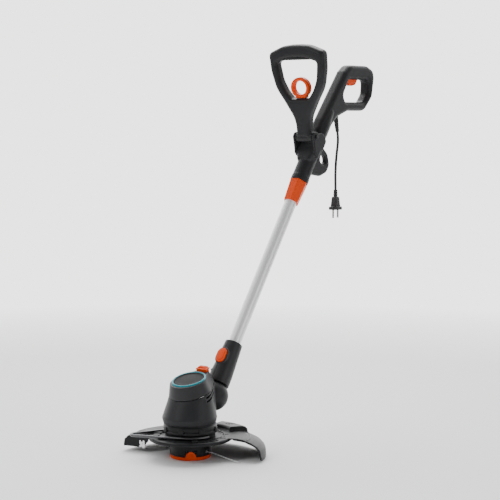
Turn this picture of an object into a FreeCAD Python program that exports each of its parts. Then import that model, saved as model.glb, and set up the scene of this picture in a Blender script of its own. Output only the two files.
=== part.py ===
"""Electric string trimmer with a telescopic shaft, a turning and tilting head and two handles.

Millimetres, +Z up. The origin is on the cutting head's axis, level with the underside of the
spool cap. The tool points along -Y, the user stands on the +Y side, and +X is the tool's left.
"""
import FreeCAD, Part
import math
import os
from types import SimpleNamespace

import Sketcher

VECTOR = FreeCAD.Vector
DOC = FreeCAD.newDocument("StringTrimmer")

# ---------------------------------------------------------------- driving dimensions

SIZES = {
    # overall layout
    "hinge_back": 76.0,         # tilt hinge behind the spool axis
    "hinge_height": 120.0,      # tilt hinge above the ground
    "shaft_lean": 34.7,         # degrees from upright
    "fork_station": 646.0,      # tilt hinge to the loop handle's pivot, along the shaft
    "fork_offset": 36.0,        # loop handle's pivot in front of the shaft's axis
    "loop_lean": 9.7,           # degrees the loop handle leans forward
    "cap_lean": 16.3,           # degrees the motor cap slopes down to the front
    # tube and clamp
    "tube_radius": 14.0,
    "tube_wall": 1.2,
    "slide_gap": 0.35,          # radial, wherever a piece slides or turns on the tube
    "pin_gap": 0.05,            # radial, running fit of a pin
    "tube_above_fork": 24.0,
    "sleeve_radius": 20.0,      # upper housing around the tube
    "sleeve_below_fork": 100.0,
    "bore_above_fork": 104.0,
    "collar_length": 54.0,
    "collar_top_radius": 20.5,
    "collar_foot_radius": 17.5,
    # rear handle
    "grip_half_width": 16.0,
    "grip_gap_start": 104.0,
    "grip_gap_floor": 102.0,
    "grip_gap_length": 107.0,
    "grip_gap_height": 53.0,
    "top_bar": 34.0,
    "rear_bar": 24.0,
    "floor_bar": 21.0,
    "shell_wall": 2.8,
    "trigger_half_width": 6.0,
    "trigger_length": 40.0,
    "trigger_drop": 15.0,
    # loop handle
    "fork_half_gap": 24.0,
    "ear_thickness": 5.5,
    "ear_radius": 12.5,
    "loop_half_width": 76.0,
    "loop_height": 212.0,
    "loop_bar": 19.5,
    "loop_top_bar": 31.0,
    "loop_gap_floor": 90.0,
    "loop_half_depth": 14.5,
    "barrel_radius": 11.5,
    "pivot_radius": 3.0,
    "ring_half_width": 26.0,
    "ring_half_height": 24.0,
    "ring_band": 8.5,
    "ring_half_depth": 7.0,
    "rod_radius": 2.5,
    # lower sleeve
    "swivel_foot": 36.0,
    "swivel_top": 127.0,
    "swivel_top_radius": 19.5,
    "swivel_foot_radius": 24.5,
    "tube_foot": 60.0,
    "oval_station": 86.0,
    "oval_half_width": 12.5,
    "oval_half_length": 17.0,
    # head
    "dome_radius": 33.0,
    "tongue_half_width": 9.0,
    "tongue_radius": 15.0,
    "tilt_pin_radius": 4.0,
    "housing_foot": 74.0,
    "housing_waist": 86.0,
    "housing_foot_radius": 55.5,
    "housing_radius": 58.5,
    "cap_centre_height": 138.0,
    "cap_front_radius": 46.0,
    "cap_rear_radius": 26.0,
    "cap_spacing": 42.0,
    "cap_height": 27.0,
    "cap_taper": 15.0,
    "lid_radius": 33.0,
    "lid_back": 4.0,            # centre of the lid behind the cap's front circle
    "lid_ring_band": 3.6,
    "motor_radius": 33.0,
    "motor_foot": 84.0,
    "motor_height": 50.0,
    "motor_shaft_radius": 4.0,
    # guard, hoop and cutting head
    "collar_radius": 53.0,
    "guard_top": 46.0,
    "guard_plate": 3.0,
    "disc_radius": 88.0,
    "disc_rim": 8.0,
    "guard_shoulder": 118.0,
    "guard_reach": 160.0,
    "guard_brim": 26.0,
    "guard_skirt_foot": 10.0,
    "hoop_wire": 3.0,
    "hoop_reach": 128.0,
    "spool_radius": 43.0,
    "spool_top": 36.0,
    "cap_rim": 7.0,
    "line_radius": 0.8,
    # cord and plug
    "cord_radius": 3.1,
    "plug_pin_radius": 2.4,
    "plug_pin_length": 19.0,
    "plug_pin_spacing": 19.0,
}


class Size:
    """A number together with the spreadsheet expression that gives it."""

    def __init__(self, number, text):
        self.number = number
        self.text = text

    def joined(self, sign, other, number):
        return Size(number, f"({self.text} {sign} {as_size(other).text})")

    def __add__(self, other):
        return self.joined("+", other, self.number + as_size(other).number)

    def __sub__(self, other):
        return self.joined("-", other, self.number - as_size(other).number)

    def __mul__(self, other):
        return self.joined("*", other, self.number * as_size(other).number)

    def __truediv__(self, other):
        return self.joined("/", other, self.number / as_size(other).number)

    def __neg__(self):
        return Size(-self.number, f"(0 - {self.text})")

    def __radd__(self, other):
        return as_size(other) + self

    def __rsub__(self, other):
        return as_size(other) - self

    def __rmul__(self, other):
        return as_size(other) * self


def as_size(value):
    """A plain number as a Size; a Size stays as it is."""
    return value if isinstance(value, Size) else Size(float(value), f"{float(value):.6f}")


def sine(angle):
    return Size(math.sin(math.radians(angle.number)), f"sin({angle.text})")


def cosine(angle):
    return Size(math.cos(math.radians(angle.number)), f"cos({angle.text})")


def make_sheet():
    """Write the driving dimensions to the spreadsheet and return them as Sizes."""
    sheet = DOC.addObject("Spreadsheet::Sheet", "Sizes")
    for row, (alias, value) in enumerate(SIZES.items(), start=1):
        sheet.set(f"A{row}", alias)
        sheet.set(f"B{row}", str(value))
        sheet.setAlias(f"B{row}", alias)
    DOC.recompute()
    return SimpleNamespace(**{name: Size(value, f"Sizes.{name}") for name, value in SIZES.items()})


S = make_sheet()


def bind(target, path, value):
    """Set a property from a Size, or from a plain number."""
    target.setExpression(path, as_size(value).text)


# ---------------------------------------------------------------- frames

class Frame:
    """A place on the tool: a point, and a turn about X in degrees."""

    def __init__(self, at, turn=0.0):
        self.at = [as_size(value) for value in at]
        self.turn = as_size(turn)

    def hold(self, body):
        body.Placement = self.placement()
        for axis, value in zip("xyz", self.at):
            bind(body, f"Placement.Base.{axis}", value)
        if self.turn.number:
            bind(body, "Placement.Rotation.Angle", self.turn)

    def placement(self):
        turn = FreeCAD.Rotation(VECTOR(1, 0, 0), self.turn.number)
        return FreeCAD.Placement(VECTOR(*[value.number for value in self.at]), turn)


LEAN_SINE = sine(S.shaft_lean)
LEAN_COSINE = cosine(S.shaft_lean)
GROUND = Frame((0, 0, 0))
SHAFT = Frame((0, S.hinge_back, S.hinge_height), -S.shaft_lean)
FORK_Y = S.hinge_back + S.fork_station * LEAN_SINE
FORK_Z = S.hinge_height + S.fork_station * LEAN_COSINE
UPPER = Frame((0, FORK_Y, FORK_Z), -S.shaft_lean)
PIVOT_Y = FORK_Y - S.fork_offset * LEAN_COSINE
PIVOT_Z = FORK_Z + S.fork_offset * LEAN_SINE
LOOP = Frame((0, PIVOT_Y, PIVOT_Z), S.loop_lean)
CAP = Frame((0, 0, S.cap_centre_height), S.cap_lean)


def upright(back, height):
    """A point given level and upright from the fork, in the shaft's own directions."""
    return (back * LEAN_COSINE - height * LEAN_SINE, back * LEAN_SINE + height * LEAN_COSINE)


# ---------------------------------------------------------------- pieces

PIECES = []
AXIS_TURNS = {
    "x": FreeCAD.Rotation(VECTOR(0, 1, 0), 90),
    "y": FreeCAD.Rotation(VECTOR(1, 0, 0), -90),
    "z": FreeCAD.Rotation(),
}
PLANE_NORMALS = {"XY": ("z", 1), "XZ": ("y", -1), "YZ": ("x", 1)}
EVERYTHING = 400.0


class Piece:
    """One body of the document, with short ways to add to it and to cut it."""

    def __init__(self, label, frame=GROUND):
        self.body = DOC.addObject("PartDesign::Body", label)
        self.body.Label = label
        frame.hold(self.body)
        PIECES.append(self.body)

    def origin(self, role):
        return next(item for item in self.body.Origin.OriginFeatures if item.Role == role)

    def primitive(self, kind, cut, at, turn, sizes):
        prefix = "Subtractive" if cut else "Additive"
        feature = self.body.newObject(f"PartDesign::{prefix}{kind}", f"{self.body.Name}_{kind}")
        feature.AttachmentSupport = [(self.origin("XY_Plane"), "")]
        feature.MapMode = "FlatFace"
        feature.AttachmentOffset = FreeCAD.Placement(VECTOR(0, 0, 0), turn)
        for axis, value in zip("xyz", at):
            bind(feature, f"AttachmentOffset.Base.{axis}", value)
        for name, value in sizes.items():
            bind(feature, name, value)
        feature.Refine = False
        return feature

    def cylinder(self, radius, length, at=(0, 0, 0), axis="z", cut=False):
        """A cylinder from the point at, along a positive axis."""
        sizes = {"Radius": radius, "Height": length}
        return self.primitive("Cylinder", cut, at, AXIS_TURNS[axis], sizes)

    def cone(self, radius, far_radius, length, at=(0, 0, 0), axis="z", cut=False):
        sizes = {"Radius1": radius, "Radius2": far_radius, "Height": length}
        return self.primitive("Cone", cut, at, AXIS_TURNS[axis], sizes)

    def ball(self, radius, at=(0, 0, 0), cut=False):
        return self.primitive("Sphere", cut, at, AXIS_TURNS["z"], {"Radius": radius})

    def box(self, low, high, cut=False):
        """A box between two corners."""
        names = ("Length", "Width", "Height")
        sizes = {name: top - base for name, base, top in zip(names, map(as_size, low), high)}
        return self.primitive("Box", cut, low, AXIS_TURNS["z"], sizes)

    def ring(self, outer, inner, low, high, centre=(0, 0)):
        """A round wall about a line parallel to the frame's Z."""
        self.cylinder(outer, as_size(high) - low, (*centre, low))
        self.cylinder(inner, as_size(high) - low + 2, (*centre, as_size(low) - 1), cut=True)

    def sketch(self, plane, offset=0.0, tilt=0.0):
        item = self.body.newObject("Sketcher::SketchObject", f"{self.body.Name}_outline")
        item.AttachmentSupport = [(self.origin(f"{plane}_Plane"), "")]
        item.MapMode = "FlatFace"
        if as_size(tilt).number:
            turn = FreeCAD.Rotation(VECTOR(1, 0, 0), as_size(tilt).number)
            item.AttachmentOffset = FreeCAD.Placement(VECTOR(0, 0, 0), turn)
            bind(item, "AttachmentOffset.Rotation.Angle", tilt)
        bind(item, "AttachmentOffset.Base.z", as_size(offset) * PLANE_NORMALS[plane][1])
        return item

    def polygon(self, points, plane, offset=0.0):
        """A closed sketch through the given points."""
        item = self.sketch(plane, offset)
        corners = [(as_size(first), as_size(second)) for first, second in points]
        ends = [VECTOR(first.number, second.number, 0) for first, second in corners]
        for start, end in zip(ends, ends[1:] + ends[:1]):
            item.addGeometry(Part.LineSegment(start, end), False)
        count = len(ends)
        for index, corner in enumerate(corners):
            item.addConstraint(Sketcher.Constraint("Coincident", index, 2, (index + 1) % count, 1))
            for kind, value in zip(("DistanceX", "DistanceY"), corner):
                rule = Sketcher.Constraint(kind, -1, 1, index, 1, value.number)
                bind(item, f"Constraints[{item.addConstraint(rule)}]", value)
        return item

    def egg(self, front_radius, rear_radius, spacing, height, tilt=0.0, forward=0.0):
        """A sketch of two circles joined by tangents, one circle behind the other."""
        item = self.sketch("XY", height, tilt)
        near, far, apart = (as_size(value) for value in (front_radius, rear_radius, spacing))
        slope = math.asin((near.number - far.number) / apart.number)
        start = as_size(forward)
        rear_y = start + apart
        near_x, near_y = near.number * math.cos(slope), near.number * math.sin(slope)
        far_x, far_y = far.number * math.cos(slope), far.number * math.sin(slope)
        front = Part.Circle(VECTOR(0, start.number, 0), VECTOR(0, 0, 1), near.number)
        rear = Part.Circle(VECTOR(0, rear_y.number, 0), VECTOR(0, 0, 1), far.number)
        item.addGeometry(Part.ArcOfCircle(front, math.pi - slope, 2 * math.pi + slope), False)
        item.addGeometry(Part.LineSegment(VECTOR(near_x, start.number + near_y, 0),
                                          VECTOR(far_x, rear_y.number + far_y, 0)), False)
        item.addGeometry(Part.ArcOfCircle(rear, slope, math.pi - slope), False)
        item.addGeometry(Part.LineSegment(VECTOR(-far_x, rear_y.number + far_y, 0),
                                          VECTOR(-near_x, start.number + near_y, 0)), False)
        for first, second in ((0, 1), (1, 2), (2, 3), (3, 0)):
            item.addConstraint(Sketcher.Constraint("Tangent", first, 2, second, 1))
        for arc, radius, centre in ((0, near, start), (2, far, rear_y)):
            item.addConstraint(Sketcher.Constraint("PointOnObject", arc, 3, -2))
            rule = Sketcher.Constraint("DistanceY", -1, 1, arc, 3, centre.number)
            bind(item, f"Constraints[{item.addConstraint(rule)}]", centre)
            rule = Sketcher.Constraint("Radius", arc, radius.number)
            bind(item, f"Constraints[{item.addConstraint(rule)}]", radius)
        return item

    def discs(self, centres, radius, plane, low, high, cut=False):
        """Round bosses or holes of one size, from low to high across a plane."""
        low, high = as_size(low), as_size(high)
        item = self.sketch(plane, (low + high) / 2)
        for index, centre in enumerate(centres):
            first, second = (as_size(value) for value in centre)
            middle = VECTOR(first.number, second.number, 0)
            item.addGeometry(Part.Circle(middle, VECTOR(0, 0, 1), as_size(radius).number), False)
            rules = (("Radius", (index,), as_size(radius)), ("DistanceX", (-1, 1, index, 3), first),
                     ("DistanceY", (-1, 1, index, 3), second))
            for kind, places, value in rules:
                rule = Sketcher.Constraint(kind, *places, value.number)
                bind(item, f"Constraints[{item.addConstraint(rule)}]", value)
        return self.sweep(item, high - low, cut)

    def extrude(self, points, plane, low, high, cut=False, rounding=None):
        """Sweep an outline from low to high across its plane, and round its corners."""
        low, high = as_size(low), as_size(high)
        profile = self.polygon(points, plane, (low + high) / 2)
        feature = self.sweep(profile, high - low, cut)
        if rounding:
            DOC.recompute()
            self.round_corners(feature, profile, plane, rounding)
        return feature

    def sweep(self, profile, length, cut=False, taper=0.0):
        kind = "Pocket" if cut else "Pad"
        feature = self.body.newObject(f"PartDesign::{kind}", f"{self.body.Name}_{kind}")
        feature.Profile = profile
        feature.Midplane = True
        bind(feature, "Length", length)
        if as_size(taper).number:
            feature.Midplane = False
            bind(feature, "TaperAngle", taper)
        feature.Refine = False
        return feature

    def round_corners(self, feature, profile, plane, radius):
        """Fillet the edges that an outline's corners make."""
        DOC.recompute()
        axis = {"x": VECTOR(1, 0, 0), "y": VECTOR(0, 1, 0), "z": VECTOR(0, 0, 1)}[PLANE_NORMALS[plane][0]]
        corners = [vertex.Point for vertex in profile.Shape.Vertexes]
        names = []
        for index, edge in enumerate(feature.Shape.Edges, start=1):
            if len(edge.Vertexes) != 2 or edge.Curve.TypeId != "Part::GeomLine":
                continue
            along = (edge.Vertexes[1].Point - edge.Vertexes[0].Point).normalize()
            if along.cross(axis).Length > 1e-6:
                continue
            gaps = [(edge.Vertexes[0].Point - corner).cross(axis).Length for corner in corners]
            if min(gaps) < 1e-4:
                names.append(f"Edge{index}")
        return self.fillet(feature, names, radius)

    def fillet(self, feature, names, radius):
        item = self.body.newObject("PartDesign::Fillet", f"{self.body.Name}_fillet")
        item.Base = (feature, names)
        bind(item, "Radius", radius)
        item.Refine = False
        self.body.Tip = item
        return item

    def soften(self, radius, chosen):
        """Fillet every edge that chosen(edge) accepts."""
        DOC.recompute()
        feature = self.body.Tip
        edges = enumerate(feature.Shape.Edges, start=1)
        return self.fillet(feature, [f"Edge{index}" for index, edge in edges if chosen(edge)], radius)

    def turned(self, points, cut=False, angle=360.0):
        """Revolve an outline of (radius, height) points about the frame's Z."""
        kind = "Groove" if cut else "Revolution"
        feature = self.body.newObject(f"PartDesign::{kind}", f"{self.body.Name}_{kind}")
        profile = self.polygon(points, "XZ")
        feature.Profile = profile
        feature.ReferenceAxis = (profile, ["V_Axis"])
        feature.Midplane = True
        bind(feature, "Angle", angle)
        feature.Refine = False
        return feature

    def loft(self, profiles, cut=False):
        kind = "SubtractiveLoft" if cut else "AdditiveLoft"
        feature = self.body.newObject(f"PartDesign::{kind}", f"{self.body.Name}_loft")
        feature.Profile = profiles[0]
        feature.Sections = profiles[1:]
        feature.Ruled = True
        feature.Refine = False
        return feature

    def hollow(self, axis):
        """Hollow a half shell from its parting face to an even wall."""
        DOC.recompute()
        tip = self.body.Tip
        names = []
        for index, face in enumerate(tip.Shape.Faces, start=1):
            flat = face.BoundBox.XLength if axis == "x" else face.BoundBox.YLength
            centre = face.CenterOfMass.x if axis == "x" else face.CenterOfMass.y
            if flat < 1e-6 and abs(centre) < 1e-6:
                names.append(f"Face{index}")
        item = self.body.newObject("PartDesign::Thickness", f"{self.body.Name}_wall")
        item.Base = (tip, names)
        bind(item, "Value", S.shell_wall)
        item.Reversed = True
        item.Refine = False
        self.body.Tip = item


def solid_piece(label, shape, frame=GROUND):
    """A sub-part whose shape comes straight from a swept wire."""
    feature = DOC.addObject("Part::Feature", label)
    feature.Label = label
    feature.Shape = shape
    feature.Placement = frame.placement() * shape.Placement
    PIECES.append(feature)
    return feature


def side_span(side, low, high):
    """The same stretch of X on the left (side 1) or on the right (side -1)."""
    low, high = as_size(low), as_size(high)
    return (low, high) if side > 0 else (-high, -low)


def keep_side(piece, side):
    """Cut away what lies past the parting plane at X = 0."""
    low, high = side_span(-side, 0, EVERYTHING)
    piece.box((low, -EVERYTHING, -EVERYTHING), (high, EVERYTHING, EVERYTHING), cut=True)


def mirrored(points):
    """An outline given on its right half, from the bottom up, closed on its left half."""
    return list(points) + [(-as_size(first), second) for first, second in reversed(points)]


def route_wire(points):
    """Straight runs joined by tangent arcs, and the radii of the arcs."""
    corners = [VECTOR(*point) for point in points]
    edges, radii, start = [], [], corners[0]
    for before, corner, after in zip(corners, corners[1:], corners[2:]):
        back, onward = before - corner, after - corner
        run = 0.45 * min(back.Length, onward.Length)
        half_turn = (math.pi - back.getAngle(onward)) / 2
        radii.append(run / math.tan(half_turn))
        first = corner + back.normalize() * run
        last = corner + onward.normalize() * run
        inward = (first - corner) + (last - corner)
        centre = corner + inward.normalize() * (radii[-1] / math.cos(half_turn))
        middle = centre + (corner - centre).normalize() * radii[-1]
        edges.append(Part.LineSegment(start, first).toShape())
        edges.append(Part.Arc(first, middle, last).toShape())
        start = last
    edges.append(Part.LineSegment(start, corners[-1]).toShape())
    return Part.Wire(edges), radii


def tube_along(wire, radius):
    """A round tube that follows a wire."""
    start = wire.Edges[0]
    point = start.valueAt(start.FirstParameter)
    way = start.tangentAt(start.FirstParameter)
    section = Part.Wire(Part.Circle(point, way, radius).toShape())
    return wire.makePipeShell([section], True, True)


def report_route(name, wire, radii, radius, solid):
    """Print a route's tightest bend, and its volume against section times length."""
    expected = math.pi * radius ** 2 * wire.Length
    print(f"{name}: length {wire.Length:.1f}, tightest radius {min(radii):.1f}, "
          f"volume {solid.Volume:.1f} of {expected:.1f}")


def coil_spring(label, frame, centre, radius, wire, length, turns):
    """A compression spring about a line parallel to the frame's Z."""
    helix = Part.makeHelix(length / turns, length, radius)
    start = VECTOR(radius, 0, 0)
    section = Part.Wire(Part.Circle(start, VECTOR(0, 1, 0), wire).toShape())
    spring = Part.Wire(helix.Edges).makePipeShell([section], True, True)
    spring.translate(VECTOR(*centre))
    return solid_piece(label, spring, frame)


# ---------------------------------------------------------------- upper housing and rear handle

BORE = S.tube_radius + S.slide_gap
COUNTERBORE = S.tube_radius + 1.95
GAP_TOP = S.grip_gap_floor + S.grip_gap_height
GAP_END = S.grip_gap_start + S.grip_gap_length
GRIP_TOP = GAP_TOP + S.top_bar
GRIP_SCREWS = [(75, 100), (S.grip_gap_start + 11, GRIP_TOP - 17), (GAP_END + 12, GAP_TOP + 4),
               (GAP_END - 5, S.grip_gap_floor + 1)]
RELIEF_BACK = 89.0
RELIEF_HEIGHT = 69.0
RELIEF_TILT = 12.0
RELIEF = Frame((0, FORK_Y + RELIEF_BACK, FORK_Z + RELIEF_HEIGHT), RELIEF_TILT)
RELIEF_LENGTH = 38.0
TRIGGER_PIVOT = (S.grip_gap_start + 18, GAP_TOP + 11)
EAR_OUTER = S.fork_half_gap + S.ear_thickness


def grip_outline():
    """Side view of the rear handle, from the stem's front edge over the grip and back."""
    start, floor = S.grip_gap_start, S.grip_gap_floor
    return [(-S.sleeve_radius, 20), (-S.sleeve_radius, 63), upright(start + 6, GAP_TOP + 19),
            upright(start + 26, GRIP_TOP), upright(GAP_END - 6, GRIP_TOP),
            upright(GAP_END + S.rear_bar - 5, GRIP_TOP - 10),
            upright(GAP_END + S.rear_bar, GAP_TOP + 6),
            upright(GAP_END + S.rear_bar - 9, floor + 12),
            upright(GAP_END - 18, floor - S.floor_bar), upright(start + 22, floor - S.floor_bar),
            (27, 98), (S.sleeve_radius, 70), (S.sleeve_radius, 20)]


def grip_gap_outline():
    """Side view of the opening for the fingers."""
    start, floor = S.grip_gap_start, S.grip_gap_floor
    return [upright(start, floor + 16), upright(start + 24, GAP_TOP), upright(GAP_END, GAP_TOP),
            upright(GAP_END - 3, floor + 21), upright(GAP_END - 22, floor), upright(start + 8, floor)]


def fin_outline():
    """Side view of the cable hook behind the sleeve."""
    return [upright(-24, -62), upright(-8, -67), upright(20, -71), upright(45, -63),
            upright(57, -46), upright(50, -20), upright(32, -4), upright(4, 0)]


def relief_point(back, height):
    """A point of the strain relief's own frame, seen from the fork."""
    turn = math.radians(RELIEF_TILT)
    return upright(RELIEF_BACK + back * math.cos(turn) - height * math.sin(turn),
                   RELIEF_HEIGHT + back * math.sin(turn) + height * math.cos(turn))


def relief_block(half_width, low, high):
    return [relief_point(-half_width, low), relief_point(half_width, low),
            relief_point(half_width, high), relief_point(-half_width, high)]


def handle_shell(label, side):
    """One half of the upper housing: sleeve, fork, cable hook and rear handle."""
    piece = Piece(label, UPPER)
    low, high = side_span(side, 0, S.grip_half_width)
    outline = piece.extrude(grip_outline(), "YZ", low, high)
    gap = piece.extrude(grip_gap_outline(), "YZ", -EVERYTHING / 4, EVERYTHING / 4, cut=True)
    piece.hollow("x")
    piece.round_corners(piece.body.Tip, outline.Profile[0], "YZ", 8)
    piece.round_corners(piece.body.Tip, gap.Profile[0], "YZ", 7)
    sleeve, tip = S.sleeve_radius * side, (S.bore_above_fork + 3)
    bottom = -S.sleeve_below_fork
    piece.turned([(0, bottom), (sleeve, bottom), (sleeve, 62), ((BORE + 2.4) * side, tip), (0, tip)],
                 angle=180)
    low, high = side_span(side, 0, EAR_OUTER)
    front = -S.sleeve_radius - 1
    piece.extrude([(front, -37), (front + 5, -42), (3, -42), (8, -37), (8, 17), (3, 22),
                   (front + 5, 22), (front, 17)], "YZ", low, high)
    pivot = -S.fork_offset
    low, high = side_span(side, S.fork_half_gap, EAR_OUTER)
    piece.extrude([(pivot - 8.8, -8.8), (pivot - 8.0, 9.5), (pivot + 3, 12.1), (-21, 22), (-10, 22),
                   (-10, -42), (-21, -42)], "YZ", low, high)
    piece.cylinder(S.ear_radius, S.ear_thickness, (low, pivot, 0), "x")
    low, high = side_span(side, 0, 5)
    piece.extrude(fin_outline(), "YZ", low, high, rounding=5)
    low, high = side_span(side, 0, S.grip_half_width - 1)
    screws = [upright(*place) for place in GRIP_SCREWS]
    piece.discs(screws + [upright(*TRIGGER_PIVOT)], 4.4, "YZ", low, high)
    # what is cut out of it
    piece.cylinder(BORE, S.sleeve_below_fork + S.bore_above_fork, (0, 0, bottom), cut=True)
    piece.cylinder(COUNTERBORE, 15, (0, 0, bottom), cut=True)
    piece.cylinder(4, 30, (0, 0, S.bore_above_fork - 5), cut=True)
    piece.extrude([upright(20, -38), upright(34, -44), upright(43, -38), upright(40, -26),
                   upright(29, -21), upright(20, -25)], "YZ", -8, 8, cut=True, rounding=3)
    piece.extrude(relief_block(6.8, -20, 14.3), "YZ", -6.8, 6.8, cut=True)
    piece.cylinder(S.pivot_radius + S.pin_gap, EVERYTHING, (-EVERYTHING / 2, pivot, 0), "x", cut=True)
    slot = S.trigger_half_width + 0.5
    back, top = S.grip_gap_start, GAP_TOP
    piece.extrude([upright(back + 12, top + 3), upright(back + 22, top - 8), upright(back + 69, top - 8),
                   upright(back + 69, top + 20), upright(back + 12, top + 20)],
                  "YZ", -slot, slot, cut=True)
    low, high = side_span(side, -1, S.grip_half_width - 4)
    piece.discs(screws + [upright(*TRIGGER_PIVOT)], 1.55, "YZ", low, high, cut=True)
    if side < 0:
        piece.discs(screws, 3.2, "YZ", -S.grip_half_width - 1, -S.grip_half_width + 5, cut=True)


def upper_screws():
    piece = Piece("handle_screws", UPPER)
    for back, height in GRIP_SCREWS:
        at = upright(back, height)
        low = -S.grip_half_width + 4.9
        piece.cylinder(1.4, 2 * S.grip_half_width - 9.5, (low, *at), "x")
        piece.cylinder(3.0, 1.8, (low - 1.8, *at), "x")


def trigger():
    piece = Piece("trigger", UPPER)
    half = S.trigger_half_width
    start, top = S.grip_gap_start, GAP_TOP
    reach = S.trigger_length
    outline = [(14, 3), (14, 16), (26, 16), (reach + 6, 9), (reach + 26, 6), (reach + 26, -2),
               (reach + 18, 3 - S.trigger_drop), (reach + 4, 0 - S.trigger_drop),
               (reach - 9, 2 - S.trigger_drop), (25, -3), (21, 3)]
    piece.extrude([upright(start + back, top + height) for back, height in outline],
                  "YZ", -half, half, rounding=1.5)
    piece.cylinder(1.5 + S.pin_gap, 2 * half + 2, (-half - 1, *upright(*TRIGGER_PIVOT)), "x", cut=True)


def trigger_pin():
    length = 2 * S.grip_half_width - 8.4
    Piece("trigger_pin", UPPER).cylinder(1.5, length, (-length / 2, *upright(*TRIGGER_PIVOT)), "x")


def switch_block():
    """The on-off switch above the trigger's free end."""
    piece = Piece("switch_block", UPPER)
    start, top = S.grip_gap_start + 40, GAP_TOP
    ceiling = GRIP_TOP - S.shell_wall - 0.3
    piece.extrude([upright(start, top + 15.5), upright(start + 34, top + 15.5),
                   upright(start + 34, ceiling), upright(start, ceiling)], "YZ", -8, 8)


def strain_relief():
    piece = Piece("strain_relief", RELIEF)
    piece.box((-6.5, -6.5, 2), (6.5, 6.5, 14))
    piece.cylinder(6.4, 4, (0, 0, -1))
    piece.cone(4.2, 6.2, RELIEF_LENGTH, (0, 0, -RELIEF_LENGTH))


CORD_RUN = [(0.0, 0.0, 0.0), (0.0, 2.7, -12.7), (0.6, 1.0, -30.0), (1.6, -5.0, -52.0),
            (2.2, -9.4, -77.0), (1.4, -9.4, -101.0), (0.4, -7.6, -120.0), (0.0, -6.6, -137.0)]


def cord_start():
    """Where the cord leaves the strain relief."""
    turn = math.radians(RELIEF_TILT)
    back = RELIEF.at[1].number + RELIEF_LENGTH * math.sin(turn)
    height = RELIEF.at[2].number - RELIEF_LENGTH * math.cos(turn)
    return back, height


def cord_points():
    back, height = cord_start()
    return [(x, back + y, height + z) for x, y, z in CORD_RUN]


def supply_cord():
    wire, radii = route_wire(cord_points())
    radius = SIZES["cord_radius"]
    solid = tube_along(wire, radius)
    report_route("supply cord", wire, radii, radius, solid)
    solid_piece("supply_cord", solid)


def plug_frame():
    back, height = cord_start()
    x, y, z = CORD_RUN[-1]
    return Frame((x, back + y, height + z))


def plug():
    """A moulded plug with two round pins in line with the handle."""
    frame = plug_frame()
    body = Piece("plug_body", frame)
    body.cone(5.4, 4.4, 15, (0, 0, -15))
    body.cylinder(5.4, 3, (0, 0, -17))
    body.box((-8, -10.5, -40), (8, 10.5, -16))
    body.soften(3, lambda edge: abs(edge.BoundBox.ZLength - 24) < 0.01)
    body.extrude([(-13, -9), (-13, 9), (-6.5, 17.6), (6.5, 17.6), (13, 9), (13, -9),
                  (6.5, -17.6), (-6.5, -17.6)], "XY", -47, -39.5, rounding=3)
    half = S.plug_pin_spacing / 2
    for place in (-half, half):
        body.cylinder(S.plug_pin_radius - 0.48, 6, (0, place, -48), cut=True)
    pins = Piece("plug_pins", frame)
    for place in (-half, half):
        pins.cylinder(S.plug_pin_radius - 0.5, 5, (0, place, -47.5))
        pins.cylinder(S.plug_pin_radius, S.plug_pin_length, (0, place, -47.3 - S.plug_pin_length))


def tube_collet():
    """The split plastic cone that the collar squeezes onto the tube."""
    piece = Piece("tube_collet", UPPER)
    low = -S.sleeve_below_fork - 30
    piece.ring(S.tube_radius + 1.5, BORE, low, -S.sleeve_below_fork + 14.5)
    for turn_axis in ("x", "y"):
        half, long = (1.0, S.tube_radius * 2)
        near = (-long, -half) if turn_axis == "x" else (-half, -long)
        far = (long, half) if turn_axis == "x" else (half, long)
        piece.box((*near, low - 1), (*far, low + 20), cut=True)


def hexagon(apothem):
    """Corners of a hexagon with two faces square to Y."""
    corner = apothem / math.cos(math.pi / 6)
    return [(corner * math.cos(math.pi / 3 * step), corner * math.sin(math.pi / 3 * step))
            for step in range(6)]


def clamp_collar():
    """The six-sided nut that clamps the telescopic tube."""
    piece = Piece("clamp_collar", UPPER)
    top = -S.sleeve_below_fork - 0.5
    foot = top - S.collar_length
    profiles = [piece.polygon(hexagon(S.collar_foot_radius - 1.6), "XY", foot),
                piece.polygon(hexagon(S.collar_top_radius - 1.6), "XY", top)]
    piece.loft(profiles)
    piece.cylinder(BORE, S.collar_length + 2, (0, 0, foot - 1), cut=True)
    piece.cylinder(S.tube_radius + 1.9, 33, (0, 0, -S.sleeve_below_fork - 31), cut=True)


def fork_bolt():
    """The bolt through the fork's ears, with its head and its nut."""
    piece = Piece("fork_bolt", UPPER)
    pivot = -S.fork_offset
    piece.cylinder(S.pivot_radius, 2 * EAR_OUTER + 5, (-EAR_OUTER, pivot, 0), "x")
    piece.cylinder(5.5, 2.6, (-EAR_OUTER - 2.6, pivot, 0), "x")
    piece.cylinder(5.0, 3.2, (EAR_OUTER, pivot, 0), "x")


def detent_disc():
    """The toothed wheel on the fork's bolt that the loop handle locks against."""
    piece = Piece("detent_disc", UPPER)
    pivot = -S.fork_offset
    piece.cylinder(8.0, 9, (-4.5, pivot, 0), "x")
    for step in range(-3, 4):
        angle = math.radians(90 + 45 + step * 20)
        piece.cylinder(0.9, 12, (-6, pivot + 8.4 * math.cos(angle), 8.4 * math.sin(angle)), "x",
                       cut=True)
    piece.cylinder(S.pivot_radius + 0.02, 12, (-6, pivot, 0), "x", cut=True)


def coiled_lead():
    """The curly lead that lets the tube slide, as a closed tube of its outer size."""
    low = S.tube_above_fork + 8
    Piece("coiled_lead", UPPER).cylinder(9.0, S.bore_above_fork - low, (0, 0, low))


# ---------------------------------------------------------------- loop handle

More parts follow.
